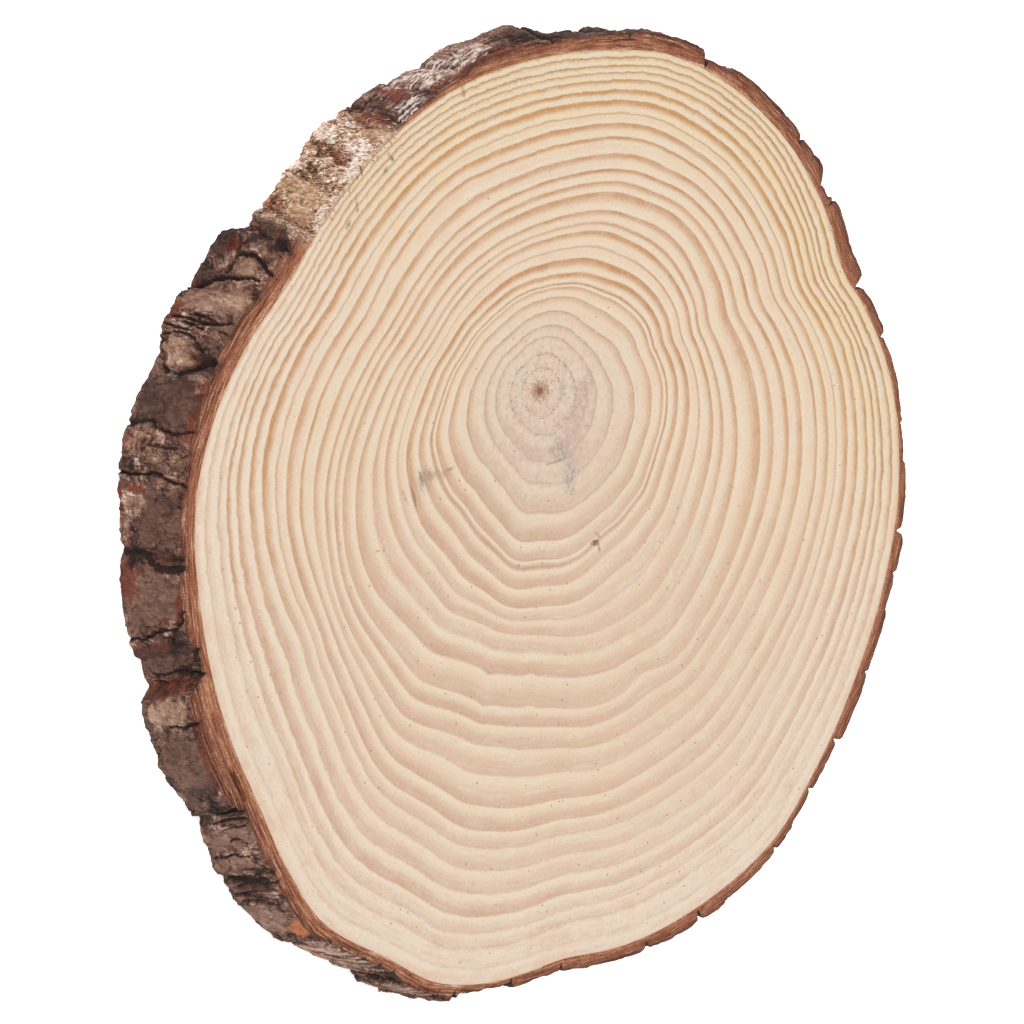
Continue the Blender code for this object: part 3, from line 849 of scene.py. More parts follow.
def bark_grid(directions):
    """Points of the bark as a grid: one column for each direction, rows round its section."""
    directions = directions[:, None]
    around = girth_place(directions)
    lean = bark_lean(directions)

    def noise(*layers, out=0.0):
        return bark_noise(around + 0.0 * out, out + np.zeros(around.shape), *layers)

    def place(angle, reach, z):
        cos, sin = polar(angle)
        radius = wood_radius(angle) + reach
        return np.stack([WOOD_CENTRE[0] + radius * cos, WOOD_CENTRE[1] + radius * sin, z + 0.0 * radius], -1)

    # The rim is chipped above and a little worn below.
    chip = 0.4 + noise((0.35, 2.2, 3.0, 31), (0.3, 7.0, 3.0, 32))
    rim_height = THICKNESS - np.clip(chip, 0.08, 1.4)
    foot_height = np.clip(0.3 + noise((0.25, 2.5, 3.0, 33)), 0.05, 0.8)

    # Side, from the foot to the rim
    share = np.linspace(0.0, 1.0, SIDE_ROWS + 1)[None, :]
    share = share + 0.035 * np.sin(2.0 * np.pi * share)
    z = foot_height + (rim_height - foot_height) * share
    thickness, side = bark_relief(directions + 0.0 * z, z)
    side_points = place(directions + lean * (1.0 - z / THICKNESS), thickness, z)

    def band(angle, rim_thickness, shares, height, edge_values):
        """Sawn edge of the bark, in rows from the wood (share 0) to the rim (share 1)."""
        reach = -BARK_OVERLAP + (rim_thickness + BARK_OVERLAP) * shares
        calm = sum(strength * between(*stretch, directions) for strength, *stretch in CALM_EDGES)
        values = dict(edge_values, calm=calm, sawn=1.0, layer=reach, rim=shares)
        return place(angle, reach, height(reach, shares)), values

    # Lower band, from the wood outwards
    foot_shares = (np.arange(LOWER_BAND_ROWS + 1) / (LOWER_BAND_ROWS + 1))[None, :]
    foot_points, foot = band(
        directions + lean, thickness[:, :1], foot_shares,
        lambda reach, shares: LOWER_BAND_HEIGHT + (foot_height - LOWER_BAND_HEIGHT) * shares ** 3,
        {name: side[name][:, :1] for name in ("tone", "torn")})

    first, last, distance, width, depth = BAND_SPLIT

    def split(reach):
        """Depth of the split between two layers of the sawn edge."""
        centre = distance + noise((0.5, 6.0, 3.0, 36))
        along = between(first + 1.0, last, 1.0, 0.3, directions)
        return depth * along * (1.0 - smooth(0.3, 1.0, np.abs(reach - centre) / width))

    # Upper band, from the rim back to the wood
    def sawn_height(reach, shares):
        saw = noise((0.12, 12.0, 1.2, 34), (0.05, 3.0, 0.9, 35), out=reach + 2.0)
        fall = (THICKNESS - rim_height - 0.1) * smooth(0.6, 1.0, shares) ** 2
        return np.minimum(THICKNESS - 0.14 - fall + saw * smooth(0.0, 0.2, shares), THICKNESS) - split(reach)

    top_shares = (1.0 - np.arange(1, TOP_BAND_ROWS + 1) / TOP_BAND_ROWS)[None, :]
    top_points, top = band(
        directions, thickness[:, -1:], top_shares, sawn_height,
        {"tone": side["tone"][:, -1:], "torn": between(*TORN_BARK, 2.0, 2.0, directions)})
    # Painted shade in the split of the sawn edge and where furrows reach the rim.
    top["hollow_shade"] = split(top["layer"]) / depth + side["gap"][:, -1:] * smooth(0.5, 0.95, top["rim"])

    bands = ((foot_points, foot), (side_points, side), (top_points, top))
    values = {}
    for name in BARK_VALUES:
        parts = [given.get(name, 0.0) + np.zeros(points.shape[:2]) for points, given in bands]
        values[name] = np.concatenate(parts, 1)
    return np.concatenate([points for points, _ in bands], 1), values


def build_bark(material):
    """The bark: one closed ring round the wood, with its sawn edge above and below."""
    points, values = bark_grid(bark_directions())
    columns, rows, _ = points.shape
    column, row = np.meshgrid(np.arange(columns), np.arange(rows), indexing="ij")
    next_column, next_row = (column + 1) % columns, (row + 1) % rows
    faces = np.stack([
        column * rows + row, next_column * rows + row,
        next_column * rows + next_row, column * rows + next_row,
    ], -1).reshape(-1, 4)
    bark = new_object("bark", points.reshape(-1, 3), faces.tolist(), material)
    mesh = bark.data
    for name, array in values.items():
        store(mesh, name, array.ravel())

    # The bake map holds the bark unrolled, as strips above each other.
    section = np.linalg.norm(np.diff(points, axis=1, append=points[:, :1, :]), axis=2).mean(0)
    level = np.concatenate([[0.0], np.cumsum(section)])
    level = level / level[-1]
    per_strip = int(np.ceil(columns / BAKE_STRIPS))
    strip = column // per_strip
    left = (column - strip * per_strip) / per_strip
    right = left + 1.0 / per_strip
    low, high = level[row], level[row + 1]
    u = np.stack([left, right, right, left], -1) * 0.98 + 0.01
    v = (np.stack([low, low, high, high], -1) * 0.96 + 0.02 + strip[..., None]) / BAKE_STRIPS
    store_bake_map(mesh, np.stack([u, v], -1).reshape(-1, 2))
    finish_surface(mesh, 60.0)
    return bark


# Node trees

class Value:
    """A number, colour or place that a node puts out. Sums and products with it add the nodes for them."""

    def __init__(self, nodes, socket):
        self.nodes, self.socket = nodes, socket

    def __add__(self, other):
        return self.nodes.math("ADD", self, other)

    def __radd__(self, other):
        return self.nodes.math("ADD", other, self)

    def __sub__(self, other):
        return self.nodes.math("SUBTRACT", self, other)

    def __rsub__(self, other):
        return self.nodes.math("SUBTRACT", other, self)

    def __mul__(self, other):
        return self.nodes.math("MULTIPLY", self, other)

    def __truediv__(self, other):
        return self.nodes.math("DIVIDE", self, other)

    def __rtruediv__(self, other):
        return self.nodes.math("DIVIDE", other, self)

    def change(self, low, high, start, end, **options):
        sizes = {"From Min": low, "From Max": high, "To Min": start, "To Max": end}
        return self.nodes.add("ShaderNodeMapRange", {"Value": self, **sizes}, **options)

    def step(self, low, high, start=0.0, end=1.0):
        """Smooth change from start to end as this value goes from low to high."""
        return self.change(low, high, start, end, interpolation_type="SMOOTHSTEP")

    def line(self, start, end):
        """Even change from start to end as this value goes from 0 to 1."""
        return self.change(0.0, 1.0, start, end)

    def spread(self, amount):
        """This value, which lies about 0.5, turned into one about 0, times the amount."""
        return (self - 0.5) * amount

    def tinted(self, *tints):
        """This colour with one tint after another over it, each a share and the colour it shows."""
        colour = self
        for share, shown in tints:
            colour = self.nodes.mix(share, colour, shown if isinstance(shown, Value) else paint(*shown))
        return colour

    def ramp(self, places, *shades):
        """Colour that goes from shade to shade, each reached at its place between 0 and 1."""
        made = self.nodes.add("ShaderNodeValToRGB", [self]).socket.node
        elements = made.color_ramp.elements
        for place in places[1:-1]:
            elements.new(place)
        for element, place, shown in zip(elements, places, shades):
            element.position = place
            element.color = paint(*shown)
        return Value(self.nodes, made.outputs["Color"])

    def outputs(self):
        """All outputs of this value's node by name."""
        return {socket.name: Value(self.nodes, socket) for socket in self.socket.node.outputs}


class Nodes:
    """Adds nodes to a node tree. What is given for an input is a number, a colour, a name or a Value."""

    def __init__(self, tree):
        self.tree = tree

    def give(self, value, socket):
        if isinstance(value, Value):
            self.tree.links.new(value.socket, socket)
        else:
            socket.default_value = value

    def add(self, kind, inputs=(), output=0, **options):
        made = self.tree.nodes.new(kind)
        for name, option in options.items():
            setattr(made, name, option)
        pairs = inputs.items() if isinstance(inputs, dict) else enumerate(inputs)
        for key, value in pairs:
            self.give(value, made.inputs[key])
        return Value(self, made.outputs[output])

    def math(self, operation, *inputs):
        return self.add("ShaderNodeMath", inputs, operation=operation)

    def larger(self, a, b):
        return self.math("MAXIMUM", a, b)

    def attribute(self, name):
        return self.add("ShaderNodeAttribute", output="Fac", attribute_name=name)

    def mix(self, share, a, b):
        """Colour a where the share is 0 and colour b where it is 1."""
        return self.add("ShaderNodeMix", {0: share, 6: a, 7: b}, 2, data_type="RGBA", clamp_factor=True)

    def blend(self, share, a, b):
        """Number a where the share is 0 and number b where it is 1."""
        return self.add("ShaderNodeMix", {0: share, 2: a, 3: b}, clamp_factor=True)

    def parts(self, colour):
        """The three numbers of a colour."""
        return list(self.add("ShaderNodeSeparateColor", [colour]).outputs().values())

    def sides(self, place):
        """X, Y and Z of a place."""
        return list(self.add("ShaderNodeSeparateXYZ", [place]).outputs().values())

    def joined(self, x, y, z):
        return self.add("ShaderNodeCombineXYZ", [x, y, z])

    def place(self):
        """Place on the piece in millimetres."""
        return self.scaled(self.add("ShaderNodeTexCoord", output="Object"), 1.0 / MM)

    def vector(self, operation, *inputs, output=0):
        return self.add("ShaderNodeVectorMath", inputs, output, operation=operation)

    def scaled(self, place, scale):
        return self.add("ShaderNodeVectorMath", {0: place, "Scale": scale}, operation="SCALE")

    def stretched(self, place, x, y, z):
        return self.vector("MULTIPLY", place, (x, y, z))

    def noise(self, place, size, detail=2.0, roughness=0.5, output="Fac"):
        """Noise about 0.5 with features of this size in millimetres."""
        inputs = {"Vector": place, "Scale": 1.0 / size, "Detail": detail, "Roughness": roughness}
        return self.add("ShaderNodeTexNoise", inputs, output)

    def group(self, tree, **inputs):
        made = self.add("ShaderNodeGroup", node_tree=tree)
        for name, value in inputs.items():
            self.give(value, made.socket.node.inputs[name.replace("_", " ")])
        return made


def paint(red, green, blue):
    """Linear colour that shows as these display values, from 0 to 255, in this scene's light."""
    shown = np.array([red, green, blue]) / 255.0
    linear = np.where(shown <= 0.04045, shown / 12.92, ((shown + 0.055) / 1.055) ** 2.4) / LIGHT_LEVEL
    return (*linear.tolist(), 1.0)


# Node groups

def new_group(name, inputs, output):
    """Empty shader group with named inputs, each with its usual value, its nodes and its one output."""
    tree = bpy.data.node_groups.new(name, "ShaderNodeTree")
    for socket_name, value in inputs.items():
        kind = "NodeSocketVector" if isinstance(value, tuple) else "NodeSocketFloat"
        tree.interface.new_socket(socket_name, in_out="INPUT", socket_type=kind).default_value = value
    tree.interface.new_socket(output, in_out="OUTPUT", socket_type="NodeSocketFloat")
    nodes = Nodes(tree)
    given = nodes.add("NodeGroupInput").outputs()
    return tree, nodes, given, tree.nodes.new("NodeGroupOutput").inputs[output]


def specks_group():
    """Small round specks scattered over a surface, in only some of the cells they lie in."""
    tree, nodes, given, result = new_group(
        "specks", {"Place": (0, 0, 0), "Spacing": 5.0, "Size": 0.3, "Share": 0.5}, "Mask")
    inputs = {"Vector": given["Place"], "Scale": 1.0 / given["Spacing"]}
    cells = nodes.add("ShaderNodeTexVoronoi", inputs).outputs()
    lot = nodes.parts(cells["Color"])[0]
    present = nodes.math("LESS_THAN", lot, given["Share"])
    away = cells["Distance"] * given["Spacing"]
    dot = away.step(given["Size"] * 0.5, given["Size"], 1.0, 0.0)
    nodes.give(dot * present, result)
    return tree


def spot_group():
    """One oval spot with an uneven edge."""
    tree, nodes, given, result = new_group(
        "spot",
        {"Place": (0, 0, 0), "Middle": (0, 0, 0), "Turn": 0.0, "Half Length": 5.0, "Half Width": 2.0,
         "Blur": 0.5, "Unevenness": 0.3, "Grain": 2.0}, "Mask")
    moved = nodes.vector("SUBTRACT", given["Place"], given["Middle"])
    angle = nodes.math("RADIANS", given["Turn"] * -1.0)
    turned = nodes.add("ShaderNodeVectorRotate", {"Vector": moved, "Angle": angle}, rotation_type="Z_AXIS")
    x, y, _ = nodes.sides(turned)
    away = nodes.vector(
        "LENGTH", nodes.joined(x / given["Half Length"], y / given["Half Width"], 0.0), output="Value")
    uneven = (nodes.noise(given["Place"], given["Grain"], 3.0) - 0.5) * (given["Unevenness"] * 4.0)
    nodes.give((away + uneven).step(1.0 - given["Blur"], 1.0 + given["Blur"], 1.0, 0.0), result)
    return tree


def grain_group():
    """Fine streaks that run out from the pith, as wood rays and pores do on a sawn face."""
    tree, nodes, given, result = new_group(
        "ray_grain", {"Place": (0, 0, 0), "Fineness": 200.0, "Length": 4.0}, "Streaks")
    flat = nodes.stretched(nodes.vector("SUBTRACT", given["Place"], (*PITH, 0.0)), 1.0, 1.0, 0.0)
    out = nodes.vector("LENGTH", flat, output="Value")
    way = nodes.scaled(nodes.vector("NORMALIZE", flat), given["Fineness"])
    along = nodes.joined(0.0, 0.0, out / given["Length"])
    nodes.give(nodes.noise(nodes.vector("ADD", way, along), 1.0, 1.0), result)
    return tree


# Materials

def new_material(name):
    material = bpy.data.materials.new(name)
    material.use_nodes = True
    shader = material.node_tree.nodes["Principled BSDF"]
    return material, Nodes(material.node_tree), shader


def finish_material(nodes, shader, colour, roughness, gloss):
    """Gives a material's colour, roughness and gloss to its shader."""
    nodes.give(colour, shader.inputs["Base Color"])
    nodes.give(roughness, shader.inputs["Roughness"])
    shader.inputs["Specular IOR Level"].default_value = gloss


def add_relief(nodes, shader, height, distance, strength):
    """Gives a material fine relief, this many millimetres deep."""
    inputs = {"Height": height, "Distance": distance * MM, "Strength": strength}
    nodes.give(nodes.add("ShaderNodeBump", inputs), shader.inputs["Normal"])


KNOT_BROWN = (120, 84, 62)
GREY_STAIN = (158, 148, 146)
MAUVE_STAIN = (198, 166, 154)

# Marks on the wood: direction and distance from the pith, turn of the long axis, half length, half width,
# blur, unevenness, grain of the edge, strength and colour.
WOOD_MARKS = [
    ((34.4, 20.0), 60, 3.8, 3.0, 0.6, 0.5, 3.0, 0.8, GREY_STAIN),
    ((35.6, 29.6), 12, 4.6, 2.5, 0.6, 0.5, 2.4, 0.8, GREY_STAIN),
    ((28.8, 23.0), 112, 4.6, 0.35, 0.4, 0.5, 1.0, 0.75, (144, 112, 94)),
    ((86, 17.5), -8, 9.5, 3.4, 0.4, 0.35, 4.0, 0.9, (194, 162, 151)),
    ((50, 21.5), 40, 7.5, 4.2, 0.5, 0.35, 4.0, 0.7, MAUVE_STAIN),
    ((359, 19.6), 80, 7.0, 2.6, 0.6, 0.3, 5.0, 0.5, MAUVE_STAIN),
    ((100, 9.5), 20, 3.4, 0.9, 0.6, 0.5, 2.0, 0.5, GREY_STAIN),
    ((36.0, 53.2), 100, 1.8, 0.9, 0.35, 0.5, 0.9, 0.9, KNOT_BROWN),
    ((36.8, 55.6), 30, 1.2, 0.5, 0.35, 0.5, 0.9, 0.8, KNOT_BROWN),
    ((38.2, 51.6), 60, 1.3, 0.5, 0.35, 0.5, 0.9, 0.6, (150, 112, 88)),
    ((308.4, 51.0), 150, 3.6, 2.6, 0.5, 0.6, 1.3, 0.75, (168, 144, 128)),
    ((309.6, 46.5), 95, 4.2, 1.3, 0.5, 0.6, 1.1, 0.6, (172, 140, 120)),
    ((306.6, 52.0), 35, 2.6, 0.45, 0.4, 0.5, 0.8, 0.7, (128, 106, 92)),
    ((311.5, 41.5), 115, 2.2, 0.5, 0.4, 0.4, 1.2, 0.6, (136, 112, 96)),
    ((310.7, 57.0), 28, 3.4, 0.5, 0.4, 0.5, 1.2, 0.65, (138, 100, 86)),
    ((308.8, 60.0), 40, 2.4, 0.5, 0.4, 0.5, 1.2, 0.5, (160, 118, 104)),
    ((209.5, 95.6), 205, 1.7, 0.8, 0.4, 0.5, 1.0, 0.65, (140, 102, 72)),
    ((229.7, 92.8), 228, 1.8, 0.7, 0.4, 0.5, 1.2, 0.8, KNOT_BROWN),
    ((232.1, 91.1), 150, 1.1, 0.6, 0.4, 0.5, 1.2, 0.8, KNOT_BROWN),
    ((241.2, 92.1), 200, 2.6, 0.45, 0.4, 0.5, 1.2, 0.7, (140, 102, 72)),
    ((245.3, 91.3), 160, 1.7, 0.7, 0.4, 0.5, 1.0, 0.8, KNOT_BROWN),
    ((77, 88), 77, 2.0, 0.35, 0.4, 0.3, 1.2, 0.25, KNOT_BROWN),
]


def spot_mask(nodes, spot, flat, direction, distance, turn, length, width, blur, unevenness, grain):
    cos, sin = polar(direction)
    middle = (PITH[0] + distance * cos, PITH[1] + distance * sin, 0.0)
    return nodes.group(
        spot, Place=flat, Middle=middle, Turn=float(turn), Half_Length=length, Half_Width=width,
        Blur=blur, Unevenness=unevenness, Grain=grain)


def wood_material(specks, spot, grain):
    """Sawn pine: cream earlywood, orange latewood that is soft on one side, stains, knots and specks."""
    material, nodes, shader = new_material("sawn_pine")
    place = nodes.place()
    flat = nodes.stretched(place, 1.0, 1.0, 0.0)
    x, y, _ = nodes.sides(flat)
    ring, width, late_width, late, line, soft, growth, yellow = map(nodes.attribute, WOOD_VALUES)
    hard = 1.0 - soft
    streaks = nodes.group(grain, Place=place, Fineness=190.0, Length=3.0)

    # Distance inwards and outwards from a ring's edge, which a fine noise makes a little ragged
    ragged = nodes.noise(flat, 1.6) + streaks * 0.2
    crinkled = nodes.noise(flat, 2.6, 1.0).spread(0.8) * growth.step(74.0, 88.0)
    crinkled = crinkled + nodes.noise(flat, 8.0).spread(1.3) * growth.step(50.0, 70.0)
    shift = (ragged - 0.1).spread(0.45) + crinkled
    passed = nodes.math("FRACT", ring + shift / width)
    outwards = passed * width
    inwards = (1.0 - passed) * width

    # Latewood: a crisp or a gradual band before the ring's edge, patchy and threaded with lighter lines
    crisp = inwards.step(late_width * 0.2, late_width * 1.35, 1.0, 0.0)
    gradual = inwards.step(late_width * 0.12, late_width * 1.2, 1.0, 0.0)
    after = outwards.step(0.0, soft.line(0.4, 0.9), 1.0, 0.0)
    band = nodes.larger(crisp * hard + gradual * soft, after)
    threads = nodes.noise(nodes.joined(growth * 2.4, x * 0.11, y * 0.11), 1.0, 3.0, 0.65)
    patchy = nodes.noise(flat, 12.0, 3.0, 0.6).spread(1.2) + streaks.spread(0.3) + threads.spread(1.1)
    darkness = band * late * (patchy + 1.0)

    # Earlywood: cream, with bands along the rings that are pinker or whiter, yellower towards the bark
    along = nodes.joined(growth * 0.6, x * 0.045, y * 0.045)
    bands = nodes.parts(nodes.noise(along, 1.0, 2.0, 0.6, "Color"))
    hues = nodes.parts(nodes.noise(flat, 5.0, 3.0, 0.65, "Color"))
    edge_white = growth.step(70.0, 96.0) * (1.0 - yellow) * soft.line(0.7, 0.85)
    outer = growth.step(60.0, 92.0) * yellow
    whiter = (bands[0] + hues[0].spread(0.7)).step(0.5, 0.64, 0.0, 0.7)
    pinker = (bands[1] + hues[1].spread(0.7)).step(0.5, 0.66, 0.0, 0.75) * outer.line(1.0, 0.6)
    cream = nodes.mix(nodes.noise(flat, 45.0), paint(229, 205, 175), paint(233, 210, 183))
    early = cream.tinted(
        (soft * 0.8, (221, 195, 168)), (edge_white, (234, 217, 199)), (outer * 0.85, (230, 207, 169)),
        (whiter, (228, 213, 194)), (pinker, (229, 197, 172)),
        (soft * threads.step(0.52, 0.64, 0.0, 0.4), (214, 182, 155)))
    orange = nodes.mix(hues[2].step(0.42, 0.6), paint(193, 140, 90), paint(200, 149, 107))
    late_colour = orange.tinted((outer * 0.8, (198, 146, 84)), (soft, (204, 166, 140)))
    colour = early.tinted((darkness, late_colour))

    # The first wood of a ring is the palest.
    first_growth = outwards.step(0.2, 0.9) * outwards.step(0.7, width * 0.7, 1.0, 0.0)
    first_growth = first_growth * growth.step(12.0, 30.0, 0.6, 0.75) * soft.line(0.45, 1.0)
    first_growth = first_growth * late.step(0.25, 0.65, 0.45, 1.0)
    first_colour = nodes.mix(soft, paint(240, 224, 201), paint(236, 217, 192))

    # Thin line at a ring's very edge, broken into dashes
    edge_line = nodes.larger(inwards.step(0.05, 0.4, 1.0, 0.0), outwards.step(0.0, 0.25, 1.0, 0.0)) * line
    gap_share = growth.step(10.0, 26.0, 0.2, 0.75)
    edge_line = edge_line * nodes.noise(flat, 1.3, 3.0, 0.7).step(0.4, 0.58, gap_share)
    edge_line = edge_line * growth.step(82.0, 90.0, 0.6, yellow.line(0.3, 1.0))
    line_colour = nodes.mix(growth.step(16.0, 30.0), paint(118, 98, 88), paint(168, 126, 96))
    line_colour = line_colour.tinted((growth.step(82.0, 90.0), (146, 124, 98)))

    # Fine grain
    mottled = nodes.noise(flat, 0.9, 3.0, 0.75)
    colour = colour.tinted(
        (first_growth, first_colour), (edge_line, line_colour),
        (nodes.noise(flat, 0.35, 1.0).step(0.5, 0.7, 0.0, 0.3), (208, 178, 150)),
        (mottled.step(0.5, 0.75, 0.0, 0.28), (206, 174, 143)),
        (mottled.step(0.5, 0.3, 0.0, 0.25), (243, 226, 202)),
        (streaks.step(0.55, 0.8, 0.0, 0.1), (200, 162, 128)))

    # The heart is greyer and pinker, with stains beside it and speckled rings.
    heart = (growth + nodes.noise(flat, 9.0).spread(8.0)).step(8.0, 30.0, 1.0, 0.0)
    cloudy = nodes.noise(flat, 2.2, 4.0, 0.7)
    rays = nodes.group(grain, Place=place, Fineness=13.0, Length=1.8)
    colour = colour.tinted(
        (heart * 0.5, (213, 192, 176)),
        (heart * cloudy.step(0.48, 0.68, 0.0, 0.4), (190, 160, 144)),
        (heart * cloudy.step(0.52, 0.36, 0.0, 0.35), (232, 214, 198)),
        (growth.step(9.0, 15.0, 1.0, 0.0) * rays.step(0.6, 0.7, 0.0, 0.4), (158, 130, 116)))
    hatched = (nodes.noise(flat, 1.0, 4.0, 0.75) + rays.spread(0.5)).step(0.4, 0.6, 0.25, 1.0)
    for middle, turn, length, half_width, blur, unevenness, size, strength, shown in WOOD_MARKS:
        mask = spot_mask(nodes, spot, flat, *middle, turn, length, half_width, blur, unevenness, size)
        colour = colour.tinted((mask * hatched * strength, shown))
    heart_dots = nodes.group(specks, Place=flat, Spacing=1.0, Size=0.34, Share=0.62)
    heart_dots = heart_dots * nodes.math("MINIMUM", inwards, outwards).step(0.3, 1.1, 1.0, 0.25)
    heart_dots = heart_dots * growth.step(9.0, 14.0, 1.0, 0.0)
    pith = spot_mask(nodes, spot, flat, 0.0, 0.0, 100.0, 3.5, 3.0, 0.5, 1.0, 1.0)
    core = spot_mask(nodes, spot, flat, 0.0, 0.0, 100.0, 1.5, 1.2, 0.6, 0.6, 0.8)

    # Drops of resin and dust, in loose clusters
    gathered = nodes.noise(flat, 13.0).step(0.4, 0.6, 0.25, 1.0)
    resin = nodes.group(specks, Place=flat, Spacing=3.6, Size=0.44, Share=gathered * soft.line(0.25, 0.8))
    dust = nodes.group(specks, Place=flat, Spacing=2.1, Size=0.34, Share=gathered * soft.line(0.15, 0.7))
    colour = colour.tinted(
        (heart_dots * 0.85, (120, 92, 78)), (pith * 0.65, (176, 118, 88)), (core * 0.75, (118, 76, 56)),
        (resin * 0.7, (160, 112, 84)), (dust * 0.45, (184, 138, 112)))

    finish_material(nodes, shader, colour, darkness.line(0.68, 0.56), 0.25)
    add_relief(nodes, shader, streaks + mottled, 0.05, 0.2)
    return material


# Colours from dark to light, at these places between 0 and 1; on the bark the darkest end carries painted
# shade in hollows and the lightest painted highlight on crests
EVEN_STOPS = (0.0, 0.25, 0.5, 0.75, 1.0)
LATE_STOPS = (0.0, 0.3, 0.55, 0.8, 1.0)
BARK_SHADES = (EVEN_STOPS, (40, 25, 20), (72, 46, 37), (107, 75, 62), (144, 109, 92), (194, 166, 150))
RED_SHADES = (LATE_STOPS, (42, 18, 11), (84, 36, 22), (118, 55, 33), (150, 82, 56), (204, 150, 124))
TAN_SHADES = (LATE_STOPS, (62, 42, 33), (115, 83, 67), (147, 113, 93), (180, 146, 123), (222, 198, 176))
TORN_SHADES = (EVEN_STOPS, (44, 27, 20), (116, 76, 54), (178, 136, 101), (216, 180, 150), (252, 242, 234))
STRAW_SHADES = (EVEN_STOPS, (84, 56, 40), (146, 107, 78), (178, 139, 106), (200, 164, 131), (232, 208, 182))
INNER_SHADES = (LATE_STOPS, (84, 42, 28), (130, 73, 50), (162, 101, 72), (194, 138, 104), (230, 194, 164))
OUTER_SHADES = (LATE_STOPS, (52, 27, 20), (93, 50, 36), (128, 76, 54), (170, 118, 92), (212, 176, 152))


